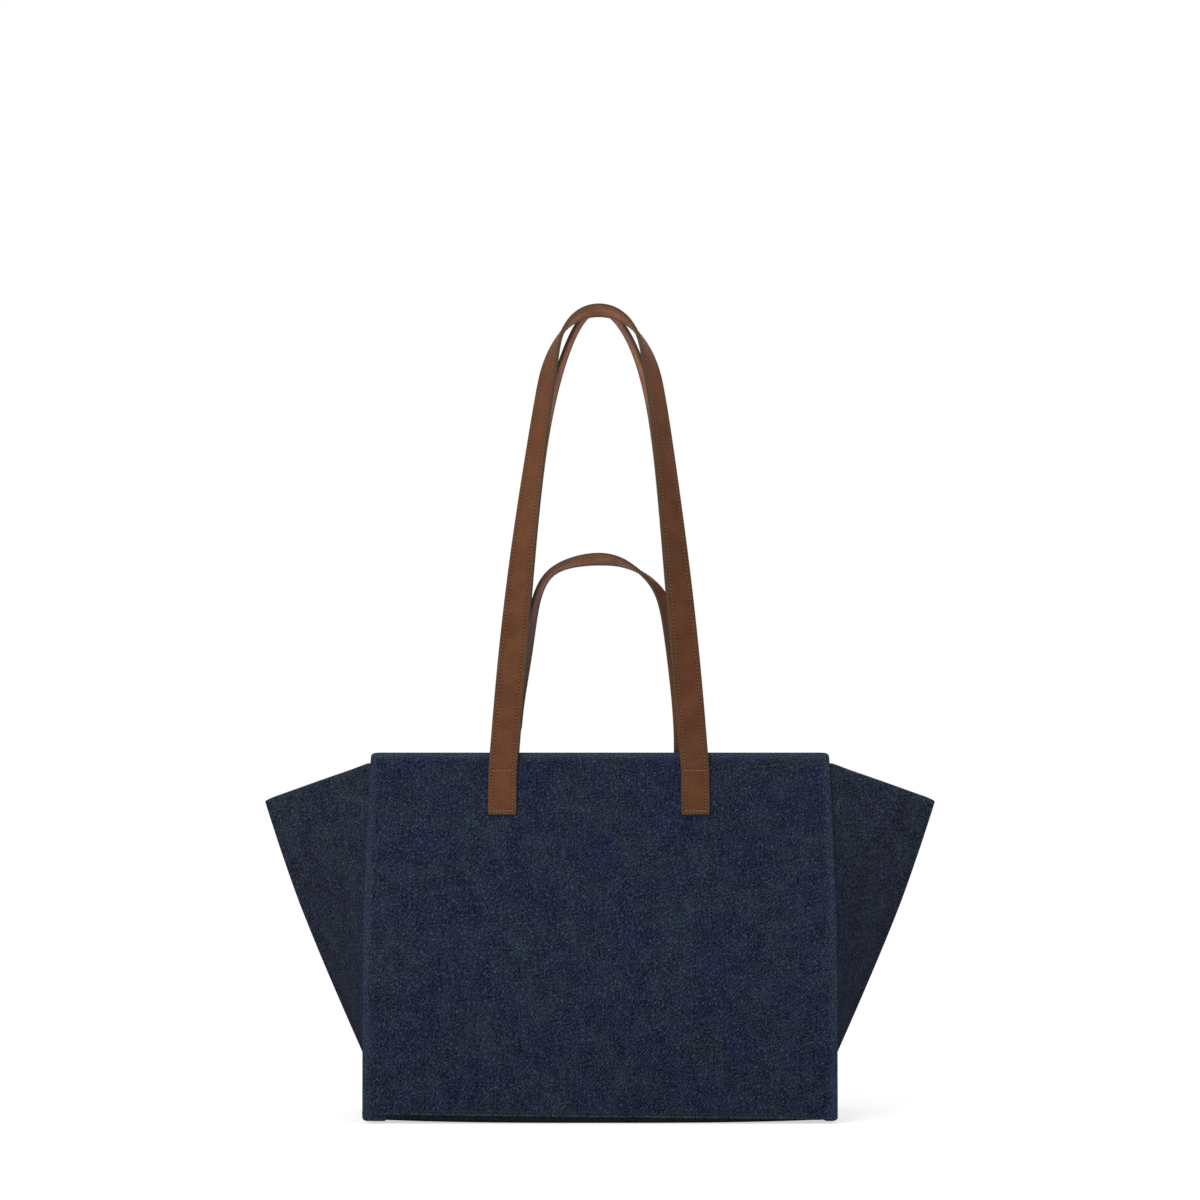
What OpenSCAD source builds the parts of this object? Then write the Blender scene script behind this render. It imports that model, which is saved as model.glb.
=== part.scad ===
// Trapeze tote: a stiffened cloth bag on a flat base, with two side wings that fold
// outwards, two long shoulder handles and one short hand-carry handle.
// Millimetres. X runs to the right, Y to the rear and Z up. The front faces -Y, and the
// origin is the middle of the base, on the surface that the bag stands on.

/* [Panels] */
// Width of the front and rear panels at the base
panel_w = 327; // [280:1:380]
// Width of the panels at their top edge
panel_top_w = 322; // [275:1:370]
// Height of the top edge of the panels
panel_h = 255; // [220:1:320]
// Height up to which the panels keep their full width
full_w_h = 150; // [80:1:190]
// Height up to which the panels stand upright
upright_h = 35; // [10:1:60]
// Radius of the top corners of the panels
corner_r = 3; // [1:0.5:8]
// Depth of the bag at its base, front to rear
base_d = 158; // [130:1:190]
// Distance between the outer faces of the two panels at their top edge
mouth_w = 36; // [30:1:60]

/* [Cloth layers] */
// Thickness of the denim
denim_t = 1.2; // [0.8:0.1:2]
// Thickness of the stiff interlining in the panels
interlining_t = 1.6; // [1:0.1:3]
// Thickness of the lining cloth
lining_t = 0.8; // [0.4:0.1:1.2]
// Depth of the denim facing inside the mouth
facing_h = 42; // [30:1:70]
// Thickness of the board in the base
board_t = 2.5; // [1.5:0.1:4]

/* [Wings] */
// How far the seam of a wing ends below the top edge of the panel
wing_drop = 8; // [3:1:20]
// How far the outer corner of a wing lies below the top edge of the panel
tip_drop = 34; // [20:1:60]
// How far the free corner of a wing flares beyond its fold
tip_flare = 4; // [0:0.5:8]
// Space between the denim and the lining of a wing, which holds its magnet
wing_loft = 4.6; // [4.2:0.1:5.5]

/* [Magnets] */
// Diameter of the hidden closing magnets
magnet_d = 18; // [12:1:22]
// Thickness of the magnets
magnet_t = 2; // [1:0.1:2.4]
// Distance of the magnets outwards from the edge of the panel
magnet_out = 13.5; // [11:0.5:20]
// Distance of the magnets below the top edge of the panel
magnet_drop = 41; // [30:1:60]

/* [Straps] */
// Width of every leather strap
strap_w = 20; // [14:1:28]
// Thickness of the outer ply of a strap
outer_ply_t = 1.4; // [0.8:0.1:2]
// Thickness of the lining ply of a strap
inner_ply_t = 1.2; // [0.6:0.1:2]
// Distance of the top stitch row of a strap below the top edge of the panel
stitch_drop = 12.4; // [8:0.2:20]
// Length of the sewn end of a strap below that stitch row
tab_h = 31; // [22:1:40]
// Margin of the patch that reinforces the panel around each sewn end
backing_margin = 3; // [2:0.5:6]

/* [Long handles] */
// Distance of the legs of a long handle from the middle of the bag
long_spread = 67.5; // [50:0.5:80]
// Rise of the front long handle above its stitch row
front_rise = 325; // [240:1:360]
// Rise of the rear long handle above its stitch row
rear_rise = 328; // [240:1:360]
// Distance of the middle of each long handle from the middle plane at its top
long_top_y = 11; // [11:0.5:16]

/* [Short handle] */
// Distance of the legs of the short handle from the middle of the bag
short_spread = 62.8; // [50:0.1:66]
// Rise of the short handle above its stitch row
short_rise = 149.6; // [110:0.2:170]

/* [Stitches] */
// Distance from one stitch to the next
stitch_pitch = 2.6; // [2:0.1:4]
// Distance of the stitch lines from the edge of the strap
stitch_inset = 2.5; // [1.5:0.1:4]
// Thickness of the thread
thread_d = 0.6; // [0.4:0.1:0.9]

/* [Hidden] */

// Gap between pieces that move against each other
move_gap = 0.3;
// Gap between sewn pieces whose curved faces meet
sewn_gap = 0.1;
// Level gap between the denim of a wing and the middle of its magnet's face
magnet_play = 0.7;
// How far the legs of the long handles stand in towards the mouth above their sewn ends
leg_step_in = 6.3;
// Distances from the middle plane of the short handle's legs and of its top
short_leg_y = 2;
short_top_y = 2;
// The number of steps in the curve of the panels and wings
curve_steps = 16;

// Measures that several pieces share
half_d = base_d / 2;
panel_foot = denim_t + move_gap;
panel_lean = half_d - mouth_w / 2;
wall_t = denim_t + interlining_t + denim_t;
strap_t = outer_ply_t + inner_ply_t;
row_z = panel_h - stitch_drop;
seam_top = panel_h - wing_drop;
tip_z = panel_h - tip_drop;
wing_wall = denim_t + wing_loft + lining_t;
facing_foot = panel_h - denim_t - facing_h;

// Colours
denim = "#23304f";
denim_dark = "#1d2538";
lining_cloth = "#2a2a2e";
felt = "#c9c5ba";
board = "#8a7456";
leather = "#6b4023";
leather_inside = "#8a5a45";
thread = "#a07848";
steel = "#b9bcc0";

// Height of one step in the curve of the panels
curve_step = (panel_h - upright_h) / curve_steps;

// Half the distance between the panels' outer faces at the top of a number of steps
function step_y(steps) = half_d - panel_lean * pow(steps / curve_steps, 2);

// The same at a height. It runs straight from step to step, so that the faces of all the
// layers match.
function face_y(z) =
    let (
        steps = max(0, z - upright_h) / curve_step,
        below = floor(steps),
        share = steps - below
    )
    step_y(below) * (1 - share) + step_y(below + 1) * share;

// Inward slope of the panels at a height, in degrees from upright
function face_slope(z) =
    atan(2 * panel_lean * max(0, z - upright_h) / pow(panel_h - upright_h, 2));

// Half the width of the panels at a height
function edge_x(z) =
    z < full_w_h ? panel_w / 2
    : panel_w / 2 - (panel_w - panel_top_w) / 2 * (z - full_w_h) / (panel_h - full_w_h);

// How far the fold of a wing stands out from the edge of the panel at a height
function fold_out(z) =
    sqrt(pow(half_d + tip_flare * pow(z / tip_z, 6), 2) - pow(face_y(z), 2));

// Heights from low to high at which the curve of the panels is cut into steps
function curve_heights(low, high) = [
    low,
    for (i = [0 : curve_steps])
        let (z = upright_h + curve_step * i)
        if (z > low + 0.01 && z < high - 0.01) z,
    high
];

// Outline of one layer of a side wall, as [y, z] points. Depths count inwards from the
// outer face of the panel.
function layer(outer, inner, low, high) =
    let (zs = curve_heights(low, high), last = len(zs) - 1)
    concat(
        [for (z = zs) [face_y(z) - outer, z]],
        [for (i = [0 : last]) [face_y(zs[last - i]) - inner, zs[last - i]]]
    );

// Outline of the outer denim of a side, which turns over the top edge
function folded_denim() =
    let (zs = curve_heights(panel_foot, panel_h - denim_t), last = len(zs) - 1)
    concat(
        [for (z = zs) [face_y(z), z]],
        [
            [face_y(panel_h), panel_h],
            [face_y(panel_h) - wall_t, panel_h],
            [face_y(panel_h - denim_t) - wall_t, panel_h - denim_t]
        ],
        [for (i = [0 : last]) [face_y(zs[last - i]) - denim_t, zs[last - i]]]
    );

// Extrudes a [y, z] outline along X about a place on X
module along_x(width, x = 0) {
    translate([x, 0, 0])
        rotate([90, 0, 90])
            linear_extrude(height = width, center = true)
                children();
}

// The face of a side panel, extruded through the whole depth of the bag
module panel_face(inset = 0) {
    top_x = panel_top_w / 2 - inset;
    rotate([90, 0, 0])
        linear_extrude(height = 2 * base_d, center = true)
            polygon(concat(
                [[-panel_w / 2 + inset, 0], [panel_w / 2 - inset, 0]],
                [[panel_w / 2 - inset, full_w_h]],
                [for (a = [0 : 15 : 90])
                    [top_x - corner_r + corner_r * cos(a),
                     panel_h - corner_r + corner_r * sin(a)]],
                [for (a = [90 : 15 : 180])
                    [-top_x + corner_r + corner_r * cos(a),
                     panel_h - corner_r + corner_r * sin(a)]],
                [[-panel_w / 2 + inset, full_w_h]]
            ));
}

// One layer of the rear wall, cut to the face of the panel
module wall_layer(points, inset = 0) {
    intersection() {
        along_x(panel_w + 2) polygon(points);
        panel_face(inset);
    }
}

// Puts a piece of the rear side on the front side
module to_front() {
    mirror([0, 1, 0])
        children();
}

// Base

// A flat sheet with rounded corners that lies in the base
module base_sheet(width, depth, low, thickness) {
    translate([0, 0, low])
        linear_extrude(height = thickness)
            hull()
                for (x = [-1, 1], y = [-1, 1])
                    translate([x * (width / 2 - corner_r), y * (depth / 2 - corner_r)])
                        circle(r = corner_r, $fn = 32);
}

board_w = panel_w - 2 * (wing_wall + move_gap);
board_d = base_d - 2 * (wall_t + move_gap);

module base_panel() {
    color(denim_dark)
        base_sheet(panel_w - 2, base_d - 2, 0, denim_t);
}

module base_board() {
    color(board)
        base_sheet(board_w, board_d, denim_t, board_t);
}

module base_lining() {
    color(lining_cloth)
        base_sheet(board_w, board_d, denim_t + board_t, lining_t);
}

// Walls

// Outer denim of the rear side
module wall_denim() {
    color(denim)
        wall_layer(folded_denim());
}

// The patches behind the sewn ends of the straps, which fill windows in the interlining
module backing_patches(grow = 0) {
    patch_w = strap_w + 2 * backing_margin + 2 * grow;
    for (side = [-1, 1])
        along_x(patch_w, side * long_spread)
            polygon(layer(denim_t - grow, denim_t + interlining_t + grow,
                row_z - tab_h - backing_margin - grow, row_z + backing_margin + grow));
}

module wall_backing() {
    color(board)
        backing_patches();
}

module wall_interlining() {
    color(felt)
        difference() {
            wall_layer(layer(denim_t, denim_t + interlining_t,
                panel_foot, panel_h - denim_t), denim_t);
            backing_patches(sewn_gap);
        }
}

module wall_lining() {
    depth = denim_t + interlining_t;
    color(lining_cloth)
        wall_layer(layer(depth, depth + lining_t, panel_foot, facing_foot), denim_t);
}

module wall_facing() {
    color(denim)
        wall_layer(layer(wall_t - denim_t, wall_t, facing_foot, panel_h - denim_t), denim_t);
}

// Wings

// A point of the rear right wing's outer face. The first share runs up the wing and the
// second runs from the seam to the fold.
function wing_point(up, out) =
    let (
        seam_z = panel_foot + (seam_top - panel_foot) * up,
        fold_z = panel_foot + (tip_z - panel_foot) * up,
        seam = [edge_x(seam_z), face_y(seam_z) - wall_t - sewn_gap, seam_z],
        fold = [edge_x(fold_z) + fold_out(fold_z), 0, fold_z]
    )
    seam + (fold - seam) * out;

// The level direction that points out of the wing's face at a share of its height
function wing_out(up) =
    let (run = wing_point(up, 1) - wing_point(up, 0), length = norm([run.x, run.y]))
    [-run.y, run.x, 0] / length;

// The two ends of the wing's cross-section at a depth under its face, cut off square to
// leave room for the fold in the middle plane
function wing_row(up, depth) =
    let (
        start = wing_point(up, 0) - depth * wing_out(up),
        end = wing_point(up, 1) - depth * wing_out(up),
        share = (start.y - move_gap) / (start.y - end.y)
    )
    [start, start + (end - start) * share];

// Half a wing as a sheet between two depths under its face
module wing_sheet(outer, inner) {
    rows = [for (i = [0 : curve_steps])
        let (up = i / curve_steps, face = wing_row(up, outer), back = wing_row(up, inner))
        [face[0], face[1], back[1], back[0]]];
    polyhedron(
        points = [for (row = rows, point = row) point],
        faces = concat(
            [[0, 1, 2], [0, 2, 3]],
            [for (i = [0 : curve_steps - 1], k = [0 : 3])
                let (a = 4 * i + k, b = 4 * i + (k + 1) % 4)
                each (k == 2
                    ? [[a, a + 4, b], [b, a + 4, b + 4]]
                    : [[a, b + 4, b], [a, a + 4, b + 4]])],
            let (top = 4 * curve_steps)
            [[top, top + 2, top + 1], [top, top + 3, top + 2]]
        )
    );
}

module wing_denim() {
    color(denim_dark)
        wing_sheet(0, denim_t);
}

module wing_lining() {
    color(lining_cloth)
        wing_sheet(denim_t + wing_loft, wing_wall);
}

// The magnet of the rear right wing, square to the cloth around it
module wing_magnet() {
    z = panel_h - magnet_drop;
    out = magnet_out / (fold_out(min(z, tip_z)) + 1);
    up = (z - panel_foot)
        / ((seam_top - panel_foot) * (1 - out) + (tip_z - panel_foot) * out);
    step = 0.02;
    rise = wing_point(up + step, out) - wing_point(up - step, out);
    run = wing_point(up, out + step) - wing_point(up, out - step);
    normal = cross(run, rise) / norm(cross(run, rise));
    place = wing_point(up, out) - (denim_t + magnet_play + magnet_t / 2) * wing_out(up);
    color(steel)
        translate(place)
            rotate([0, acos(normal.z), atan2(normal.y, normal.x)])
                cylinder(d = magnet_d, h = magnet_t, center = true, $fn = 48);
}

// Straps

// The sewn end of a strap. Its depth is that of its face nearest the outside of the bag.
module sewn_end(x, depth) {
    color(leather)
        along_x(strap_w, x)
            polygon(layer(depth, depth + strap_t, row_z - tab_h, row_z - move_gap / 2));
}

// One stitch that lies on a wall at a depth, level or upright
module stitch(x, z, depth, upright) {
    thread_l = stitch_pitch * 0.72;
    size = upright ? [thread_d, thread_d, thread_l] : [thread_l, thread_d, thread_d];
    translate([x, face_y(z) - depth, z])
        rotate([face_slope(z), 0, 0])
            cube(size, center = true);
}

// The rectangle of stitches on a sewn end. Depth is that of the middle of the threads.
module box_stitch(x, depth) {
    across = strap_w - 2 * stitch_inset;
    low = row_z - tab_h + stitch_inset;
    high = row_z - stitch_inset / 2;
    columns = floor(across / stitch_pitch);
    rows = floor((high - low) / stitch_pitch) - 1;
    color(thread) {
        for (i = [0 : columns - 1], z = [low, high])
            stitch(x - across / 2 + across * (i + 0.5) / columns, z, depth, false);
        for (i = [0 : rows - 1], side = [-1, 1])
            stitch(x + side * across / 2,
                low + (high - low) * (i + 1) / (rows + 1), depth, true);
    }
}

// An arched strap that stands on its stitch row and turns its outer face from the front
// to the top on the way up. from_t and to_t are the ply's faces, counted from the strap's
// outer face. Its legs stand at foot_y, bend to leg_y and reach top_y at the top. The
// strap turns by leg_twist along its legs and by top_twist past the share top_from.
module arched_strap(
    spread, rise, squareness, leg_lean, leg_curve, foot_y, leg_y, top_y, bend,
    leg_twist, twist_power, top_twist, top_from, from_t, to_t
) {
    steps = 20;
    turn = 0.75;
    turn_angle = asin(pow(turn, squareness / 2));

    // Height of a ring as a share of the rise: level steps on the leg, then even turns
    function share(q) =
        q < 0.5 ? 2 * q * turn
        : pow(sin(turn_angle + (90 - turn_angle) * (2 * q - 1)), 2 / squareness);
    function place(q) =
        let (v = share(q))
        [
            -spread * (1 - leg_lean * v - leg_curve * v * v)
                * sqrt(max(0, 1 - pow(v, squareness))),
            top_y + (leg_y - top_y) * (1 - v) + (foot_y - leg_y) * pow(1 - v, bend),
            row_z + move_gap / 2 + rise * v
        ];
    function middle(i) =
        let (p = place(1 - abs(i - steps) / steps))
        i <= steps ? p : [-p.x, p.y, p.z];
    lengths = [
        for (i = 0, total = 0; i <= steps; total = total + norm(middle(i + 1) - middle(i)),
            i = i + 1) total
    ];
    function eased(t) = t * t * (3 - 2 * t);
    function twist(i) =
        let (
            done = lengths[i <= steps ? i : 2 * steps - i] / lengths[steps],
            near_top = max(0, done - top_from) / (1 - top_from)
        )
        leg_twist * pow(sin(90 * done), twist_power) + top_twist * eased(near_top);
    function tangent(i) =
        i == 0 ? [0, 0, 1]
        : i == 2 * steps ? [0, 0, -1]
        : let (run = middle(i + 1) - middle(i - 1)) run / norm(run);
    function ring(i) =
        let (
            along = tangent(i),
            inward = cross([0, 1, 0], along) / norm(cross([0, 1, 0], along)),
            forward = cross(inward, along),
            across = cos(twist(i)) * inward + sin(twist(i)) * forward,
            out = cross(across, along),
            outer = strap_t / 2 - from_t,
            inner = strap_t / 2 - to_t,
            half = across * strap_w / 2
        )
        [
            middle(i) - half + out * outer, middle(i) + half + out * outer,
            middle(i) + half + out * inner, middle(i) - half + out * inner
        ];
    rings = [for (i = [0 : 2 * steps]) ring(i)];
    polyhedron(
        points = [for (r = rings, point = r) point],
        faces = concat(
            [[0, 1, 2], [0, 2, 3]],
            [for (i = [0 : 2 * steps - 1], k = [0 : 3])
                let (a = 4 * i + k, b = 4 * i + (k + 1) % 4)
                each (k == 2
                    ? [[a, a + 4, b], [b, a + 4, b + 4]]
                    : [[a, b + 4, b], [a, a + 4, b + 4]])],
            let (top = 8 * steps)
            [[top, top + 2, top + 1], [top, top + 3, top + 2]]
        )
    );
}

// Distance from the middle plane to the middle of a strap that lies on a panel's face
outside_foot = face_y(row_z) + strap_t / 2 + move_gap;
// The same for a strap that lies on the facing inside the mouth
inside_foot = face_y(row_z) - wall_t - strap_t / 2 - move_gap;

// A long handle, which leans over the front edge of the mouth
module long_strap(rise, squareness, leg_twist, top_twist, from_t, to_t) {
    arched_strap(
        spread = long_spread, rise = rise, squareness = squareness,
        leg_lean = 0.34, leg_curve = 0.2,
        foot_y = -outside_foot, leg_y = -outside_foot + leg_step_in,
        top_y = -long_top_y, bend = 26,
        leg_twist = leg_twist, twist_power = 1.5, top_twist = top_twist, top_from = 0.8,
        from_t = from_t, to_t = to_t
    );
}

module front_long_strap(from_t, to_t) {
    long_strap(front_rise, squareness = 20, leg_twist = 60, top_twist = 48,
        from_t = from_t, to_t = to_t);
}

module rear_long_strap(from_t, to_t) {
    mirror([0, 1, 0])
        long_strap(rear_rise, squareness = 7.6, leg_twist = 84, top_twist = 0,
            from_t = from_t, to_t = to_t);
}

module short_strap(from_t, to_t) {
    arched_strap(
        spread = short_spread, rise = short_rise, squareness = 7.2,
        leg_lean = 0.36, leg_curve = -0.15,
        foot_y = inside_foot, leg_y = short_leg_y, top_y = short_top_y, bend = 7,
        leg_twist = 70, twist_power = 2, top_twist = 38, top_from = 0.65,
        from_t = from_t, to_t = to_t
    );
}

module outer_ply() {
    color(leather)
        children();
}

module inner_ply() {
    color(leather_inside)
        children();
}

module front_long_handle() outer_ply() front_long_strap(0, outer_ply_t);
module front_long_handle_lining() inner_ply() front_long_strap(outer_ply_t, strap_t);
module rear_long_handle() outer_ply() rear_long_strap(0, outer_ply_t);
module rear_long_handle_lining() inner_ply() rear_long_strap(outer_ply_t, strap_t);
module short_handle() outer_ply() short_strap(0, outer_ply_t);
module short_handle_lining() inner_ply() short_strap(outer_ply_t, strap_t);

// Threads of the straps sewn to the outside of the rear panel
module outside_threads() {
    for (side = [-1, 1])
        box_stitch(side * long_spread, -strap_t - thread_d / 2 - sewn_gap);
}

base_panel();
base_board();
base_lining();

to_front() wall_denim();  // front_panel
to_front() wall_interlining();  // front_interlining
to_front() wall_lining();  // front_lining
to_front() wall_facing();  // front_facing
to_front() wall_backing();  // front_handle_backing
to_front() sewn_end(-long_spread, -strap_t);  // front_tab_left
to_front() sewn_end(long_spread, -strap_t);  // front_tab_right
to_front() outside_threads();  // front_tab_threads

wall_denim();  // rear_panel
wall_interlining();  // rear_interlining
wall_lining();  // rear_lining
wall_facing();  // rear_facing
wall_backing();  // rear_handle_backing
sewn_end(-long_spread, -strap_t);  // rear_tab_left
sewn_end(long_spread, -strap_t);  // rear_tab_right
outside_threads();  // rear_tab_threads

sewn_end(-short_spread, wall_t);  // short_tab_left
sewn_end(short_spread, wall_t);  // short_tab_right
for (side = [-1, 1])  // short_tab_threads
        box_stitch(side * short_spread, wall_t + strap_t + thread_d / 2 + sewn_gap);

to_front() mirror([1, 0, 0]) wing_denim();  // left_wing_front
to_front() mirror([1, 0, 0]) wing_lining();  // left_wing_front_lining
to_front() mirror([1, 0, 0]) wing_magnet();  // left_front_magnet
to_front() wing_denim();  // right_wing_front
to_front() wing_lining();  // right_wing_front_lining
to_front() wing_magnet();  // right_front_magnet

mirror([1, 0, 0]) wing_denim();  // left_wing_rear
mirror([1, 0, 0]) wing_lining();  // left_wing_rear_lining
mirror([1, 0, 0]) wing_magnet();  // left_rear_magnet
wing_denim();  // right_wing_rear
wing_lining();  // right_wing_rear_lining
wing_magnet();  // right_rear_magnet

front_long_handle();
front_long_handle_lining();
rear_long_handle();
rear_long_handle_lining();
short_handle();
short_handle_lining();
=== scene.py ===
"""Looks of a stiff denim tote with two side wings and three brown leather straps.

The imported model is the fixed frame. Every piece is built in metres where that model has
it: +Z is up, the front faces -Y, and the origin is the middle of the base.
"""
from __future__ import annotations

import logging
import math
from dataclasses import dataclass, replace
from enum import Enum
from typing import Callable, Sequence

import bpy
import numpy as np
from bpy.types import Material, Object
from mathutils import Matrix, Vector

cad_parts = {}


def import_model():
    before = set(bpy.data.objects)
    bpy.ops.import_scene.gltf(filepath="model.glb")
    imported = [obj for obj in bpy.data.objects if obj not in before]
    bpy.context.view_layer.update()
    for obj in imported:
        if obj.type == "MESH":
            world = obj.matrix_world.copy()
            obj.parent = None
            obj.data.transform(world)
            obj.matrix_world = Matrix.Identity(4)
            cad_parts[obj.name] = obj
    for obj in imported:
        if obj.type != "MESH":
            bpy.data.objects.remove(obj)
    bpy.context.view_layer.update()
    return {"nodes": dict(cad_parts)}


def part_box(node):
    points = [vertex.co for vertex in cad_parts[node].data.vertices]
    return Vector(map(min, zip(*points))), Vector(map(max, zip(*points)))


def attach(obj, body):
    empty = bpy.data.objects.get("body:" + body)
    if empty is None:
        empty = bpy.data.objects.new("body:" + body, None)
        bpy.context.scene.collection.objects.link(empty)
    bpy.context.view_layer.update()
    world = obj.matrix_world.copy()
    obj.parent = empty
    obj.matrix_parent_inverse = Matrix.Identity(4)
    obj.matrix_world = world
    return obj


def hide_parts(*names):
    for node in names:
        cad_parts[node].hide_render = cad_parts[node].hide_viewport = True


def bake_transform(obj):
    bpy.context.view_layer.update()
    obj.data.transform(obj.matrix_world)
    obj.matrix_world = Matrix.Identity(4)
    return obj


LOG = logging.getLogger("tote")
MM = 0.001
CLOTH_MAP = "Cloth"
WORN = "worn"
PAINTED = "painted"
FACE_OUT = "face_out"
WHITE = (1.0, 1.0, 1.0)
Colour = tuple[float, float, float]
Array = np.ndarray
Span = tuple[float, float]


class Side(Enum):
    """A side wall of the bag, by the sign of its Y."""

    FRONT = -1
    REAR = 1

    @property
    def word(self) -> str:
        """The side's name in piece and node names."""
        return self.name.lower()

    @property
    def body(self) -> str:
        """The body that the side's pieces ride on."""
        return f"{self.word}_side"


class Hand(Enum):
    """A wing of the bag, by the sign of its X."""

    LEFT = -1
    RIGHT = 1

    @property
    def word(self) -> str:
        """The wing's name in piece and node names."""
        return self.name.lower()


class Handle(Enum):
    """A strap of the bag, by its name in piece and node names."""

    FRONT_LONG = "front_long"
    REAR_LONG = "rear_long"
    SHORT = "short"

    @property
    def node(self) -> str:
        """The node of the free length."""
        return f"{self.value}_handle"

    @property
    def tabs(self) -> str:
        """The first word of the nodes of its sewn ends."""
        return self.value.replace("_long", "")


# Node trees


def _operator(operation: str, reflected: bool = False) -> Callable[..., Signal]:
    """Makes a method of Signal that adds a Math node.

    Args:
        operation: What the node does.
        reflected: Whether the signal stands behind the other value.

    Returns:
        The method.
    """

    def work(self: Signal, *others: Signal | float) -> Signal:
        """Adds the node to the signal's graph."""
        inputs = dict(enumerate((*others, self) if reflected else (self, *others)))
        return self.graph.node("ShaderNodeMath", inputs, operation=operation)

    return work


class Signal:
    """An output socket on which Python's operators add Math nodes."""

    __add__, __radd__ = _operator("ADD"), _operator("ADD", reflected=True)
    __sub__, __rsub__ = _operator("SUBTRACT"), _operator("SUBTRACT", reflected=True)
    __mul__, __rmul__ = _operator("MULTIPLY"), _operator("MULTIPLY", reflected=True)
    __truediv__ = _operator("DIVIDE")
    __pow__ = _operator("POWER")
    __mod__ = _operator("FLOORED_MODULO")
    __lt__ = _operator("LESS_THAN")
    __abs__ = _operator("ABSOLUTE")
    floor = _operator("FLOOR")
    fraction = _operator("FRACT")
    sine = _operator("SINE")

    def __init__(self, graph: Graph, socket: bpy.types.NodeSocket) -> None:
        """Wraps a socket of a graph."""
        self.graph = graph
        self.socket = socket

    def other(self, name: str) -> Signal:
        """Another output of the same node."""
        return Signal(self.graph, self.socket.node.outputs[name])

    def eased(self, low: float, high: float) -> Signal:
        """Zero up to low, one from high and smooth between them.

        Args:
            low: The value at which it starts to grow.
            high: The value at which it is one.

        Returns:
            The eased value.
        """
        return self.graph.node(
            "ShaderNodeMapRange",
            {0: self, 1: low, 2: high},
            interpolation_type="SMOOTHSTEP",
        )


class Graph:
    """A node tree that is written as Python calls."""

    def __init__(self, tree: bpy.types.NodeTree) -> None:
        """Empties a tree to start on."""
        self.tree = tree
        tree.nodes.clear()

    def node(
        self,
        kind: str,
        inputs: dict[int | str, object] | None = None,
        output: int | str = 0,
        **settings: object,
    ) -> Signal | None:
        """Adds one node.

        Args:
            kind: The node's type.
            inputs: Values or signals by the socket's name or place.
            output: The output to hand back.
            settings: The node's properties, set before its sockets.

        Returns:
            The output's signal, or None from a node without outputs.
        """
        made = self.tree.nodes.new(kind)
        for name, value in settings.items():
            setattr(made, name, value)
        for name, value in (inputs or {}).items():
            self._feed(made.inputs[name], value)
        return Signal(self, made.outputs[output]) if made.outputs else None

    def _feed(self, socket: bpy.types.NodeSocket, value: object) -> None:
        """Links a signal to a socket, or sets the socket's own value.

        Args:
            socket: The input of a node.
            value: A signal, a number, a vector, a colour, a name or a material.
        """
        if isinstance(value, Signal):
            self.tree.links.new(value.socket, socket)
        elif socket.type == "RGBA":
            socket.default_value = (*value[:3], 1.0)
        else:
            socket.default_value = value

    def seen_rays(self) -> Signal:
        """One on a ray from the camera, a mirror or glass, and zero on the others."""
        rays = self.node("ShaderNodeLightPath", output="Is Camera Ray")
        return rays + rays.other("Is Glossy Ray") + rays.other("Is Transmission Ray")


class Shading(Graph):
    """The node tree of a material."""

    def __init__(self, name: str) -> None:
        """Makes a new material with an empty tree.

        Args:
            name: The material's name.
        """
        self.material = bpy.data.materials.new(name)
        self.material.use_nodes = True
        super().__init__(self.material.node_tree)

    def cloth_place(self) -> tuple[Signal, Signal]:
        """The place on the piece's own map.

        Returns:
            The coordinates across and along, in millimetres.
        """
        flat = self.node("ShaderNodeUVMap", uv_map=CLOTH_MAP)
        parts = self.node("ShaderNodeSeparateXYZ", {0: flat})
        return parts / MM, parts.other("Y") / MM

    def level_place(self) -> tuple[Signal, Signal]:
        """The place round the object and its height, in millimetres."""
        parts = self.node("ShaderNodeSeparateXYZ", {0: self.object_place()})
        return (parts + parts.other("Y")) / MM, parts.other("Z") / MM

    def object_place(self) -> Signal:
        """The place on the object, in metres."""
        return self.node("ShaderNodeTexCoord", output="Object")

    def mask(self, name: str) -> Signal:
        """A number that the mesh carries under a name."""
        return self.node("ShaderNodeAttribute", output="Fac", attribute_name=name)

    def vector(self, x: object, y: object, z: object = 0.0) -> Signal:
        """A vector from three values."""
        return self.node("ShaderNodeCombineXYZ", {0: x, 1: y, 2: z})

    def noise(self, place: Signal, scale: float, detail: float = 2.0) -> Signal:
        """Smooth noise from 0 to 1.

        Args:
            place: Where it is read.
            scale: How fine it is.
            detail: How many finer layers it has.

        Returns:
            The noise.
        """
        return self.node(
            "ShaderNodeTexNoise", {"Vector": place, "Scale": scale, "Detail": detail}
        )

    def mix(self, share: Signal | float, low: object, high: object) -> Signal:
        """A colour between two colours.

        Args:
            share: Zero for the first colour and one for the second.
            low: The first colour.
            high: The second colour.

        Returns:
            The mixed colour.
        """
        return self.node(
            "ShaderNodeMix", {0: share, 6: low, 7: high}, 2, data_type="RGBA"
        )

    def finish(
        self,
        colour: object,
        roughness: object,
        height: Signal | None = None,
        depth: float = 0.0,
        plain: dict[str, object] | None = None,
    ) -> Material:
        """Ends the tree in one surface.

        Args:
            colour: The base colour.
            roughness: The roughness.
            height: The relief from 0 to 1.
            depth: How deep the relief is, in metres.
            plain: Values of the surface's other sockets by name.

        Returns:
            The material.
        """
        inputs = {"Base Color": colour, "Roughness": roughness, **(plain or {})}
        if height is not None:
            inputs["Normal"] = self.node(
                "ShaderNodeBump", {"Distance": depth, "Height": height}
            )
        surface = self.node("ShaderNodeBsdfPrincipled", inputs)
        self.node("ShaderNodeOutputMaterial", {"Surface": surface})
        return self.material


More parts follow.
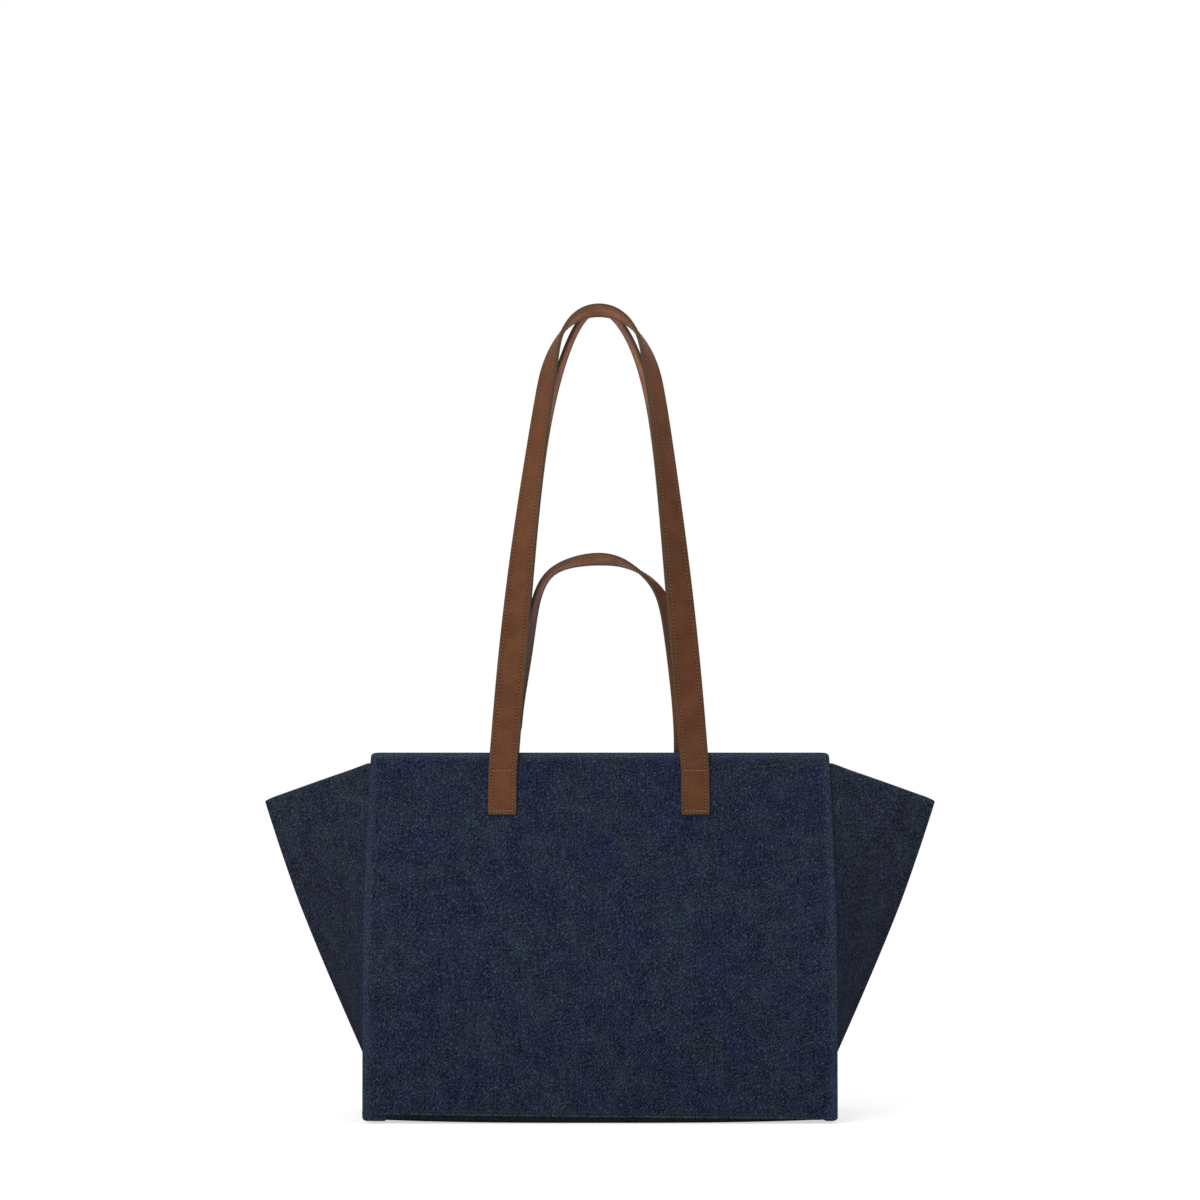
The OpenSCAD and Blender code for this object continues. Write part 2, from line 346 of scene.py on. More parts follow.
# Finishes


@dataclass(frozen=True)
class Denim:
    """Indigo twill: dark warp floats, and pale weft crossings in slanted rows.

    Sizes and pitches are in millimetres. A range gives the noise values between which a
    pattern grows from nothing to its whole strength.
    """

    name: str
    indigo: Colour = (0.0152, 0.0192, 0.0450)
    slate: Colour = (0.0176, 0.0252, 0.0405)
    weft: Colour = (0.130, 0.160, 0.210)
    wear: Colour = (0.058, 0.076, 0.116)
    warp_pitch: float = 0.52
    weft_pitch: float = 0.68
    float_count: int = 4
    speck_length: float = 2.5
    speck_width: float = 1.1
    speck_range: Span = (0.60, 0.80)
    mottle_size: float = 34.0
    mottle_range: Span = (0.36, 0.66)
    patch_size: float = 9.0
    patch_range: Span = (0.35, 0.65)
    fleck_size: float = 1.25
    fleck_range: Span = (0.26, 0.74)
    streak_size: float = 1.3
    streak_length: float = 20.0
    streak_range: Span = (0.25, 0.75)
    least_light: float = 0.06
    streak_light: float = 0.34
    fleck_light: float = 1.05
    # Share of painted light on the ridges of the twill rows and painted shade in their
    # grooves.
    row_light: float = 0.5
    row_patches: Span = (0.25, 1.3)
    dot_weft: Span = (0.04, 0.10)
    speck_weft: float = 0.32
    wear_share: float = 0.45
    on_map: bool = True
    roughness: float = 0.95
    relief: float = 0.16 * MM
    sheen: float = 0.015
    sheen_roughness: float = 0.6
    sheen_tint: Colour = (0.55, 0.62, 0.8)

    def material(self) -> Material:
        """Builds the twill from yarn to mottling.

        Returns:
            The material.
        """
        art = Shading(self.name)
        x, y = art.cloth_place() if self.on_map else art.level_place()
        flat = art.vector(x, y)
        warp = x / self.warp_pitch
        pick = y / self.weft_pitch
        crossing = (pick.floor() - warp.floor()) % self.float_count < 0.5
        bulge = (warp.fraction() * math.pi).sine() * (pick.fraction() * math.pi).sine()
        slant = (pick - warp) * (math.tau / self.float_count) + math.pi / 2
        rows = slant.sine() * 0.5 + 0.5
        streak = art.noise(
            art.vector(x / self.streak_size, y / self.streak_length), 1.0, 1.0
        ).eased(*self.streak_range)
        fleck = art.noise(flat, 1 / self.fleck_size, 0.0).eased(*self.fleck_range)
        slope = math.atan2(self.weft_pitch, self.warp_pitch)
        ahead = x * math.cos(slope) + y * math.sin(slope)
        aside = y * math.cos(slope) - x * math.sin(slope)
        speck = art.noise(
            art.vector(ahead / self.speck_length, aside / self.speck_width, 3.0), 1.0, 0.0
        ).eased(*self.speck_range)
        patch = art.noise(art.vector(x, y, 5.0), 1 / self.patch_size)
        patch = patch.eased(*self.patch_range)
        mottle = art.noise(flat, 1 / self.mottle_size, 3.0).eased(*self.mottle_range)
        ground = art.mix(mottle, self.indigo, self.slate)
        # The twill rows paint light on the ridges of the warp floats and shade in the
        # grooves between them, stronger in patches.
        least, most = self.row_patches
        shade = (
            self.least_light
            + self.streak_light * streak
            + self.fleck_light * fleck
            + self.row_light * rows * (least + most * patch)
        )
        dyed = art.node(
            "ShaderNodeVectorMath", {0: ground, "Scale": shade}, operation="SCALE"
        )
        least, most = self.dot_weft
        dot = crossing * bulge * (least + most * fleck)
        dotted = art.mix(dot + speck * self.speck_weft, dyed, self.weft)
        rubbed = art.mask(WORN) * self.wear_share * (0.25 + 0.6 * fleck + 0.4 * rows)
        return art.finish(
            art.mix(rubbed, dotted, self.wear),
            self.roughness,
            0.6 * fleck + 0.4 * rows,
            self.relief,
            {
                "Specular IOR Level": 0.0,
                "Sheen Weight": self.sheen,
                "Sheen Roughness": self.sheen_roughness,
                "Sheen Tint": self.sheen_tint,
            },
        )


@dataclass(frozen=True)
class Leather:
    """Smooth cowhide with fine grain, needle holes and painted edges.

    Sizes are in millimetres. Light and shade are painted along the strap: a starting
    share, a gain over the stretch of rise and a loss over the stretch of fall, both
    measured from the strap's first end, paint the strap lighter from its upper left leg
    on and darker down its right leg.
    """

    name: str
    face: Colour
    deep: Colour
    paint: Colour = (0.052, 0.036, 0.018)
    # Colour of the painted shade in the needle holes and along the stitch groove.
    hole_and_groove_shade: Colour = (0.022, 0.011, 0.005)
    grain_size: float = 0.9
    grain_range: Span = (0.02, 0.25)
    patch_size: float = 16.0
    patch_share: float = 0.6
    speck_size: float = 1.25
    speck_share: float = 0.4
    cloud_range: Span = (0.3, 0.7)
    seam_at: float = 7.0
    stitch_pitch: float = 2.6
    hole_radius: float = 0.66
    hole_floor: float = 0.3
    hole_dark: float = 0.95
    pull_range: Span = (0.2, 1.3)
    pull_dark: float = 0.25
    # Shares of painted light and shade along the strap.
    start_painted_light: float = 0.0
    rise_painted_light: float = 0.4
    fall_painted_shade: float = 0.75
    rise: Span = (120.0, 240.0)
    fall: Span = (400.0, 560.0)
    roughness: float = 0.62
    edge_polish: float = 0.15
    speck_roughness: float = 0.12
    relief: float = 0.14 * MM
    specular: float = 0.22

    def material(self) -> Material:
        """Builds grain, cloudy patches, painted light and shade along the strap, needle
        holes with painted shade and painted edges.

        Returns:
            The material.
        """
        art = Shading(self.name)
        across, along = art.cloth_place()
        flat = art.vector(across, along)
        grain = art.node(
            "ShaderNodeTexVoronoi",
            {"Vector": flat, "Scale": 1 / self.grain_size},
            feature="DISTANCE_TO_EDGE",
        )
        cloud = art.noise(flat, 1 / self.patch_size, 3.0)
        speck = art.noise(flat, 1 / self.speck_size, 2.0).eased(*self.cloud_range)
        # Painted light and shade along the strap: lighter up the left leg, darker down
        # the right leg.
        painted_light = self.start_painted_light + self.rise_painted_light * along.eased(*self.rise)
        painted_light = painted_light - self.fall_painted_shade * along.eased(*self.fall)
        patch = cloud.eased(*self.cloud_range) * self.patch_share
        shade = patch + speck * self.speck_share + painted_light
        hide = art.mix(shade, self.deep, self.face)
        # The needle holes are painted dark as pits of shade, and along the stitch groove
        # the leather is darker, partly pressed and partly painted shade.
        from_seam = abs(abs(across) - self.seam_at)
        from_hole = abs((along / self.stitch_pitch).fraction() - 0.5) * self.stitch_pitch
        hole = 1 - (from_seam**2 + from_hole**2).eased(
            self.hole_floor * self.hole_radius**2, self.hole_radius**2
        )
        pulled = 1 - from_seam.eased(*self.pull_range)
        dark = self.hole_dark * hole + self.pull_dark * pulled * (1 - hole)
        pressed_and_shaded = art.mix(dark, hide, self.hole_and_groove_shade)
        edge = art.mask(PAINTED)
        return art.finish(
            art.mix(edge * (0.75 + 0.25 * speck), pressed_and_shaded, self.paint),
            self.roughness - self.edge_polish * edge + self.speck_roughness * speck,
            grain.eased(*self.grain_range) * (1 - edge) - hole,
            self.relief,
            {"Specular IOR Level": self.specular},
        )


@dataclass(frozen=True)
class Weave:
    """Plain cloth of one colour: lining, felt and fibre board."""

    name: str
    colour: Colour
    fade: Colour
    pitch: float = 0.45
    cloud_scale: float = 45.0
    cloud_range: Span = (0.3, 0.75)
    roughness: float = 0.85
    relief: float = 0.06 * MM

    def material(self) -> Material:
        """Builds a plain weave with painted light on its crests, painted shade between
        its yarns and a little unevenness.

        Returns:
            The material.
        """
        art = Shading(self.name)
        place = art.object_place()
        parts = art.node("ShaderNodeSeparateXYZ", {0: place})
        turn = math.pi / (self.pitch * MM)
        level = parts + parts.other("Y")
        grid = abs((level * turn).sine()) * abs((parts.other("Z") * turn).sine())
        cloud = art.noise(place, self.cloud_scale, 3.0)
        # Painted light on the crests of the weave and painted shade in its gaps, mixed
        # with a random cloud.
        share = grid * 0.5 + cloud.eased(*self.cloud_range) * 0.5
        return art.finish(
            art.mix(share, self.colour, self.fade), self.roughness, grid, self.relief
        )


@dataclass(frozen=True)
class Thread:
    """Waxed thread with the twist of its plies."""

    name: str
    # Colours of the plies' crests and grooves: painted light and shade along the twist.
    light: Colour
    dark: Colour
    ply_pitch: float = 0.32
    ply_slant: float = 0.6
    uneven_scale: float = 300.0
    roughness: float = 0.55
    relief: float = 0.05 * MM

    def material(self) -> Material:
        """Builds slanted plies with painted light on their crests and painted shade in
        their grooves.

        Returns:
            The material.
        """
        art = Shading(self.name)
        place = art.object_place()
        parts = art.node("ShaderNodeSeparateXYZ", {0: place})
        slant = parts + parts.other("Y") * self.ply_slant + parts.other("Z")
        ply = (slant * (math.tau / (self.ply_pitch * MM))).sine() * 0.5 + 0.5
        uneven = art.noise(place, self.uneven_scale, 1.0)
        # Painted light on the crests of the plies and painted shade in their grooves,
        # mixed with random unevenness.
        colour = art.mix(ply * 0.6 + uneven * 0.4, self.dark, self.light)
        return art.finish(colour, self.roughness, ply, self.relief)


@dataclass(frozen=True)
class Plating:
    """Brushed nickel on the hidden magnets."""

    name: str
    colour: Colour = (0.62, 0.61, 0.58)
    dull: Colour = (0.42, 0.41, 0.40)
    scratch_scale: float = 900.0
    roughness: Span = (0.28, 0.2)
    relief: float = 0.02 * MM

    def material(self) -> Material:
        """Builds fine scratches.

        Returns:
            The material.
        """
        art = Shading(self.name)
        scratch = art.noise(art.object_place(), self.scratch_scale, 2.0)
        least, more = self.roughness
        return art.finish(
            art.mix(scratch, self.dull, self.colour),
            least + more * scratch,
            scratch,
            self.relief,
            {"Metallic": 1.0},
        )


class Finishes:
    """Every material of the bag, built once."""

    def __init__(self) -> None:
        """Builds the materials."""
        self.panel = Denim("panel_denim").material()
        # The wings' denim is a lighter, greyer copy of the panel's: painted light on the
        # wings, which face sideways.
        self.wing = Denim(
            "wing_denim",
            indigo=(0.0190, 0.0225, 0.0420),
            slate=(0.0200, 0.0256, 0.0390),
            weft=(0.140, 0.160, 0.195),
            wear_share=0.35,
        ).material()
        # The base's denim is a much darker copy of the panel's: painted shade on the
        # underside, low by the floor.
        self.rim = Denim(
            "rim_denim",
            indigo=(0.0070, 0.0080, 0.0150),
            slate=(0.0080, 0.0095, 0.0150),
            weft=(0.050, 0.056, 0.070),
            wear=(0.022, 0.025, 0.036),
        ).material()
        self.welt = Denim(
            "welt_denim",
            indigo=(0.026, 0.030, 0.046),
            slate=(0.031, 0.036, 0.048),
            on_map=False,
        ).material()
        self.lining = Weave(
            "lining_cloth", (0.0120, 0.0125, 0.0150), (0.0230, 0.0235, 0.0270)
        ).material()
        self.felt = Weave(
            "stiff_felt", (0.50, 0.47, 0.41), (0.62, 0.59, 0.53)
        ).material()
        self.board = Weave(
            "fibre_board", (0.20, 0.14, 0.08), (0.28, 0.20, 0.12)
        ).material()
        self.leather = Leather(
            "strap_leather", (0.162, 0.057, 0.0205), (0.092, 0.030, 0.0095)
        ).material()
        # The lining leather is a lighter, pinker flesh side, its colour raised further as
        # painted light on the straps' undersides, which face down.
        self.leather_back = Leather(
            "strap_lining_leather", (0.480, 0.195, 0.105), (0.190, 0.074, 0.038),
            start_painted_light=-0.2,
        ).material()
        # Painted shade: a copy of the lining leather, much darker on the short strap's
        # left leg, where it lies in shade, and lighter towards its top.
        self.short_back_shaded = Leather(
            "short_lining_leather_shaded", (0.480, 0.195, 0.105), (0.075, 0.030, 0.021),
            start_painted_light=-0.8, rise_painted_light=1.05, rise=(135.0, 195.0),
        ).material()
        self.edge_thread = Thread(
            "edge_thread", (0.260, 0.108, 0.043), (0.130, 0.050, 0.019)
        ).material()
        self.box_thread = Thread(
            "box_thread", (0.380, 0.200, 0.085), (0.150, 0.068, 0.026)
        ).material()
        self.steel = Plating("nickel").material()


# Meshes

WAVE_SHARES = (1.0, 0.62, 0.41, 0.29)


@dataclass(frozen=True)
class Rims:
    """How far the rolled edges stand out on the four sides of a sheet, in metres."""

    left: float = 0.0
    right: float = 0.0
    bottom: float = 0.0
    top: float = 0.0

    @classmethod
    def even(cls, reach: float) -> Rims:
        """The same reach on all four sides."""
        return cls(reach, reach, reach, reach)


@dataclass
class Cloth:
    """A grid of points on the outer face of a sheet: rows run up, columns across.

    Attributes:
        points: The places of the points, in metres.
        across: Their distances across the cloth, for its map.
        along: Their distances along the cloth, for its map.
        turn: 1 where across times up points out of the face, and -1 where it points in.
        worn: How worn the cloth is at each point, or None where it is new.
        last_on_fold: Whether the last column lies in the middle plane.
    """

    points: Array
    across: Array
    along: Array
    turn: int
    worn: Array | None = None
    last_on_fold: bool = False

    def mirrored(self, x: bool, y: bool) -> Cloth:
        """The same sheet on another side of the bag.

        Args:
            x: Whether left and right change places.
            y: Whether front and rear change places.

        Returns:
            The mirrored sheet.
        """
        signs = np.array([-1 if x else 1, -1 if y else 1, 1])
        turn = self.turn * (-1 if x != y else 1)
        return replace(self, points=self.points * signs, turn=turn)

    def tangents(self) -> tuple[Array, Array]:
        """Directions along the sheet.

        Returns:
            Unit directions across and up at every point.
        """
        across = np.gradient(self.points, axis=1)
        up = np.gradient(self.points, axis=0)
        if self.last_on_fold:
            across[:, -1] *= (0, 1, 0)
        return unit(across), unit(up)

    def normals(self) -> Array:
        """Directions out of the sheet.

        Returns:
            Unit directions out of the face at every point.
        """
        across, up = self.tangents()
        out = self.turn * np.cross(across, up)
        if self.last_on_fold:
            out[:, -1] *= (1, 0, 1)
        return unit(out)

    def sunk(self, depth: float | Array) -> Cloth:
        """The sheet moved inwards by a depth."""
        depths = np.broadcast_to(depth, self.points.shape[:2])[..., None]
        return replace(self, points=self.points - self.normals() * depths)


def unit(vectors: Array) -> Array:
    """Vectors scaled to length one."""
    return vectors / np.maximum(np.linalg.norm(vectors, axis=-1, keepdims=True), 1e-12)


def smooth(values: Array | float, low: float, high: float) -> Array:
    """Zero at low, one at high and smooth between them."""
    share = np.clip((np.asarray(values, float) - low) / (high - low), 0, 1)
    return share * share * (3 - 2 * share)


def bump(distance: Array, width: float) -> Array:
    """One at no distance, and fading to zero within about twice a width."""
    return np.exp(-((distance / width) ** 2))


def waves(x: Array, z: Array, seed: int, size: float) -> Array:
    """Gentle unevenness from about -1 to 1: a fixed sum of slanted waves.

    Args:
        x: Places across the cloth, in metres.
        z: Places along it.
        seed: Picks the directions and phases.
        size: Length of the longest wave, in metres.

    Returns:
        The height at each place.
    """
    draw = np.random.default_rng(seed)
    total = np.zeros(np.broadcast(x, z).shape)
    for share in WAVE_SHARES:
        angle, phase = draw.uniform(0, math.tau, 2)
        run = x * math.cos(angle) + z * math.sin(angle)
        total += share * np.sin(math.tau * run / (size * share) + phase)
    return total / 2.0


def in_scene(name: str, data: bpy.types.ID) -> Object:
    """Links new data to the scene.

    Args:
        name: The object's name.
        data: A mesh, a lamp or a camera.

    Returns:
        The object, at the origin.
    """
    made = bpy.data.objects.new(name, data)
    bpy.context.scene.collection.objects.link(made)
    return made


def new_mesh(
    name: str,
    points: Array,
    faces: Sequence[Sequence[int]],
    places: Array,
    material: Material,
    masks: dict[str, Array] | None = None,
    sharp_angle: float = 50.0,
) -> Object:
    """Makes a smooth-shaded mesh object at the origin.

    Args:
        name: The piece's name.
        points: Its corners, in metres.
        faces: Lists of corners, turning left as seen from outside.
        places: The place of each corner on the piece's own map, in metres.
        material: Its finish.
        masks: Numbers that each corner carries, by name.
        sharp_angle: Edges that turn more than this, in degrees, stay sharp.

    Returns:
        The object.
    """
    mesh = bpy.data.meshes.new(name)
    mesh.from_pydata(points.tolist(), [], faces)
    mesh.update()
    corners = np.zeros(len(mesh.loops), np.int32)
    mesh.loops.foreach_get("vertex_index", corners)
    layer = mesh.uv_layers.new(name=CLOTH_MAP)
    layer.data.foreach_set("uv", places[corners].astype(np.float32).ravel())
    for key, values in (masks or {}).items():
        made = mesh.attributes.new(key, "FLOAT", "POINT")
        made.data.foreach_set("value", values.astype(np.float32))
    mesh.shade_smooth()
    mesh.set_sharp_from_angle(angle=math.radians(sharp_angle))
    mesh.materials.append(material)
    return in_scene(name, mesh)


class SlabMaker:
    """Turns a cloth grid into a closed sheet whose edges roll round."""

    RING_STEPS = 8
    CORNER_STEPS = 4
    RIM_ON_MAP = 0.8
    RIM_WEAR_POWER = 0.5

    def __init__(self, cloth: Cloth, thickness: float, rims: Rims) -> None:
        """Gets a sheet ready.

        Args:
            cloth: Its outer face.
            thickness: Its thickness, in metres.
            rims: How far its rolled edges stand out.
        """
        self.cloth = cloth
        self.thickness = thickness
        self.rims = rims
        self.rows, self.columns = cloth.points.shape[:2]
        self.normals = cloth.normals()
        self.tangent_across, self.tangent_up = cloth.tangents()

    def _stations(self) -> list[tuple[int, int, Span]]:
        """Goes round the edge of the sheet.

        Returns:
            The row and the column of each stop, and how far the rim reaches there
            across and up. A corner has several stops, which turn its reach.
        """
        last_row, last_column = self.rows - 1, self.columns - 1
        rims = self.rims
        found = []
        corners = (
            (0, 0, (0, -rims.bottom), (-rims.left, 0)),
            (0, last_column, (rims.right, 0), (0, -rims.bottom)),
            (last_row, last_column, (0, rims.top), (rims.right, 0)),
            (last_row, 0, (-rims.left, 0), (0, rims.top)),
        )
        edges = (
            [(0, c, (0, -rims.bottom)) for c in range(1, last_column)],
            [(r, last_column, (rims.right, 0)) for r in range(1, last_row)],
            [(last_row, c, (0, rims.top)) for c in range(last_column - 1, 0, -1)],
            [(r, 0, (-rims.left, 0)) for r in range(last_row - 1, 0, -1)],
        )
        for (row, column, leaving, arriving), edge in zip(corners, edges):
            if any(leaving) and any(arriving):
                for step in range(self.CORNER_STEPS + 1):
                    turn = math.pi / 2 * step / self.CORNER_STEPS
                    reach = tuple(
                        a * math.cos(turn) + b * math.sin(turn)
                        for a, b in zip(arriving, leaving)
                    )
                    found.append((row, column, reach))
            else:
                both = tuple(a + b for a, b in zip(arriving, leaving))
                found.append((row, column, both))
            found += edge
        return found

    def build(self, name: str, material: Material) -> Object:
        """Makes the closed sheet.

        Args:
            name: The piece's name.
            material: Its finish.

        Returns:
            The object.
        """
        cloth, count = self.cloth, self.rows * self.columns
        outer = cloth.points.reshape(-1, 3)
        normals = self.normals.reshape(-1, 3)
        inner = outer - normals * self.thickness
        flat = np.stack([cloth.turn * cloth.across, cloth.along], -1).reshape(-1, 2)
        worn = np.zeros(count) if cloth.worn is None else cloth.worn.reshape(-1)
        stations = self._stations()
        at = np.array([r * self.columns + c for r, c, _ in stations])
        reach = np.array([reach for *_, reach in stations])
        side = self.tangent_across.reshape(-1, 3)[at] * reach[:, :1]
        out = side + self.tangent_up.reshape(-1, 3)[at] * reach[:, 1:]
        points, places, wear = [outer, inner], [flat, flat], [worn, worn * 0]
        half = self.thickness / 2
        rolled = np.linalg.norm(reach, axis=1) > 0
        for ring in range(1, self.RING_STEPS):
            angle = math.pi * ring / self.RING_STEPS
            sink = half * (1 - math.cos(angle))
            points.append(outer[at] + out * math.sin(angle) - normals[at] * sink)
            places.append(flat[at] + reach * (cloth.turn, 1) * angle * self.RIM_ON_MAP)
            rubbed = np.maximum(worn[at], math.sin(angle) ** self.RIM_WEAR_POWER)
            wear.append(np.where(rolled, rubbed, worn[at]))
        ring_starts = [2 * count + k * len(at) for k in range(self.RING_STEPS - 1)]
        rings = [at, *(np.arange(len(at)) + start for start in ring_starts), at + count]
        faces = self._faces(rings, count)
        if cloth.turn < 0:
            faces = [face[::-1] for face in faces]
        return new_mesh(
            name, np.concatenate(points), faces, np.concatenate(places), material,
            {WORN: np.concatenate(wear)},
        )

    def _faces(self, rings: list[Array], count: int) -> list[list[int]]:
        """Faces of the two grids and of the rim between them.

        Args:
            rings: The corners on each ring of the rim, from the outer face to the inner.
            count: Number of points of one grid.

        Returns:
            Lists of corners.
        """
        faces = []
        for row in range(self.rows - 1):
            for column in range(self.columns - 1):
                a = row * self.columns + column
                quad = [a, a + 1, a + self.columns + 1, a + self.columns]
                faces.append(quad)
                faces.append([corner + count for corner in quad[::-1]])
        for near, far in zip(rings, rings[1:]):
            for k in range(len(near)):
                n = (k + 1) % len(near)
                corners = [near[n], near[k], far[k], far[n]]
                kept = list(dict.fromkeys(int(corner) for corner in corners))
                if len(kept) > 2:
                    faces.append(kept)
        return faces


def picked(at: Array, run: Array, values: Array) -> Array:
    """Vectors at places along a run, between those that are given for it.

    Args:
        at: The places.
        run: The places of the given vectors, rising.
        values: The given vectors.

    Returns:
        One vector for each place.
    """
    return np.stack([np.interp(at, run, values[:, k]) for k in range(3)], -1)


def grid_lengths(points: Array, axis: int) -> Array:
    """Length run along one axis of a grid.

    Args:
        points: The grid's points.
        axis: 0 to run up the rows, 1 to run across the columns.

    Returns:
        The length from the first row or column to each point.
    """
    steps = np.linalg.norm(np.diff(points, axis=axis), axis=-1)
    zero = np.zeros_like(np.take(steps, [0], axis=axis))
    return np.concatenate([zero, np.cumsum(steps, axis=axis)], axis=axis)


# Stitches


def plain_copy(guide: Object, name: str) -> Object:
    """Turns what an object's modifiers make into a plain mesh, and drops the object.

    Args:
        guide: The object with its modifiers.
        name: Name of the new piece.

    Returns:
        The piece, with no modifiers.
    """
    depsgraph = bpy.context.evaluated_depsgraph_get()
    mesh = bpy.data.meshes.new_from_object(
        guide.evaluated_get(depsgraph), preserve_all_data_layers=True,
        depsgraph=depsgraph,
    )
    mesh.name = name
    mesh.shade_smooth()
    made = in_scene(name, mesh)
    bpy.data.objects.remove(guide)
    return made


class LineTree:
    """Geometry Nodes with named inputs, which make a piece along lines."""

    def __init__(self, name: str, inputs: dict[str, str]) -> None:
        """Makes the tree and its sockets, with the lines as the first input.

        Args:
            name: The tree's name.
            inputs: The other inputs' socket types by name.
        """
        self.tree = bpy.data.node_groups.new(name, "GeometryNodeTree")
        face = self.tree.interface
        face.new_socket("Geometry", in_out="INPUT", socket_type="NodeSocketGeometry")
        self.sockets = {
            word: face.new_socket(word, in_out="INPUT", socket_type=kind).identifier
            for word, kind in inputs.items()
        }
        face.new_socket("Geometry", in_out="OUTPUT", socket_type="NodeSocketGeometry")

    def _end(self, graph: Graph, mesh: Signal, material: Signal) -> None:
        """Ends the tree with real, dressed geometry.

        Args:
            graph: The tree's nodes.
            mesh: What was made.
            material: Its finish.
        """
        real = graph.node("GeometryNodeRealizeInstances", {0: mesh})
        dressed = graph.node("GeometryNodeSetMaterial", {0: real, "Material": material})
        graph.node("NodeGroupOutput", {0: dressed})

    def follow(
        self, name: str, lines: bpy.types.Mesh, values: dict[str, object]
    ) -> Object:
        """Makes a piece along lines.

        Args:
            name: The piece's name.
            lines: Edges to follow.
            values: The tree's inputs by name.

        Returns:
            The piece as one plain mesh.
        """
        guide = in_scene(f"{name}_guide", lines)
        modifier = guide.modifiers.new(self.tree.name, "NODES")
        modifier.node_group = self.tree
        for word, value in values.items():
            modifier[self.sockets[word]] = value
        return plain_copy(guide, name)


class StitchTree(LineTree):
    """Geometry Nodes that lay stitches along lines, each turned to face out."""

    LENGTH = "Stitch length"
    WIDTH = "Thread width"
    SLANT = "Slant"
    THREAD = "Thread"
    SEGMENTS = 8
    RINGS = 5

    def __init__(self) -> None:
        """Builds the tree."""
        super().__init__(
            "lay_stitches",
            {
                self.LENGTH: "NodeSocketFloat",
                self.WIDTH: "NodeSocketFloat",
                self.SLANT: "NodeSocketFloat",
                self.THREAD: "NodeSocketMaterial",
            },
        )
        graph = Graph(self.tree)
        given = graph.node("NodeGroupInput")
        lines = graph.node("GeometryNodeMeshToCurve", {0: given})
        laid = graph.node(
            "GeometryNodeInstanceOnPoints",
            {
                "Points": lines,
                "Instance": self._stitch(graph, given),
                "Rotation": self._turn(graph, given),
            },
        )
        self._end(graph, laid, given.other(self.THREAD))

    def _stitch(self, graph: Graph, given: Signal) -> Signal:
        """One stitch along X.

        Args:
            graph: The tree's nodes.
            given: The tree's inputs.

        Returns:
            The stitch's mesh.
        """
        bead = graph.node(
            "GeometryNodeMeshUVSphere",
            {"Segments": self.SEGMENTS, "Rings": self.RINGS, "Radius": 0.5},
        )
        width = given.other(self.WIDTH)
        size = graph.node(
            "ShaderNodeCombineXYZ", {0: given.other(self.LENGTH), 1: width, 2: width}
        )
        return graph.node("GeometryNodeTransform", {0: bead, "Scale": size})

    def _turn(self, graph: Graph, given: Signal) -> Signal:
        """The turn of a stitch along its line, facing out and a little slanted.

        Args:
            graph: The tree's nodes.
            given: The tree's inputs.

        Returns:
            The rotation.
        """
        facing = graph.node(
            "GeometryNodeInputNamedAttribute",
            {"Name": FACE_OUT},
            data_type="FLOAT_VECTOR",
        )
        ahead = graph.node(
            "FunctionNodeAlignRotationToVector",
            {"Vector": graph.node("GeometryNodeInputTangent")},
            axis="X",
        )
        upright = graph.node(
            "FunctionNodeAlignRotationToVector",
            {"Rotation": ahead, "Vector": facing},
            axis="Z",
            pivot_axis="X",
        )
        slant = graph.node("ShaderNodeCombineXYZ", {2: given.other(self.SLANT)})
        tilt = graph.node("FunctionNodeEulerToRotation", {0: slant})
        return graph.node(
            "FunctionNodeRotateRotation", {0: upright, 1: tilt}, rotation_space="LOCAL"
        )

    def lay(
        self,
        name: str,
        lines: Sequence[tuple[Array, Array]],
        material: Material,
        length: float = 2.2 * MM,
        width: float = 0.85 * MM,
        slant: float = 8.0,
    ) -> Object:
        """Sews along lines.

        Args:
            name: The piece's name.
            lines: Middles of each line's stitches, and the directions out of the cloth
                or leather.
            material: The thread's finish.
            length: Length of a stitch.
            width: Width of the thread.
            slant: Turn of each stitch against the line, in degrees.

        Returns:
            The stitches as one plain mesh.
        """
        mesh = bpy.data.meshes.new(f"{name}_lines")
        starts = np.cumsum([0, *(len(points) for points, _ in lines)])
        edges = [
            (start + k, start + k + 1)
            for start, (points, _) in zip(starts, lines)
            for k in range(len(points) - 1)
        ]
        mesh.from_pydata(np.concatenate([p for p, _ in lines]).tolist(), edges, [])
        out = mesh.attributes.new(FACE_OUT, "FLOAT_VECTOR", "POINT")
        out.data.foreach_set(
            "vector", np.concatenate([n for _, n in lines]).astype(np.float32).ravel()
        )
        values = {
            self.LENGTH: length,
            self.WIDTH: width,
            self.SLANT: math.radians(slant),
            self.THREAD: material,
        }
        return self.follow(name, mesh, values)


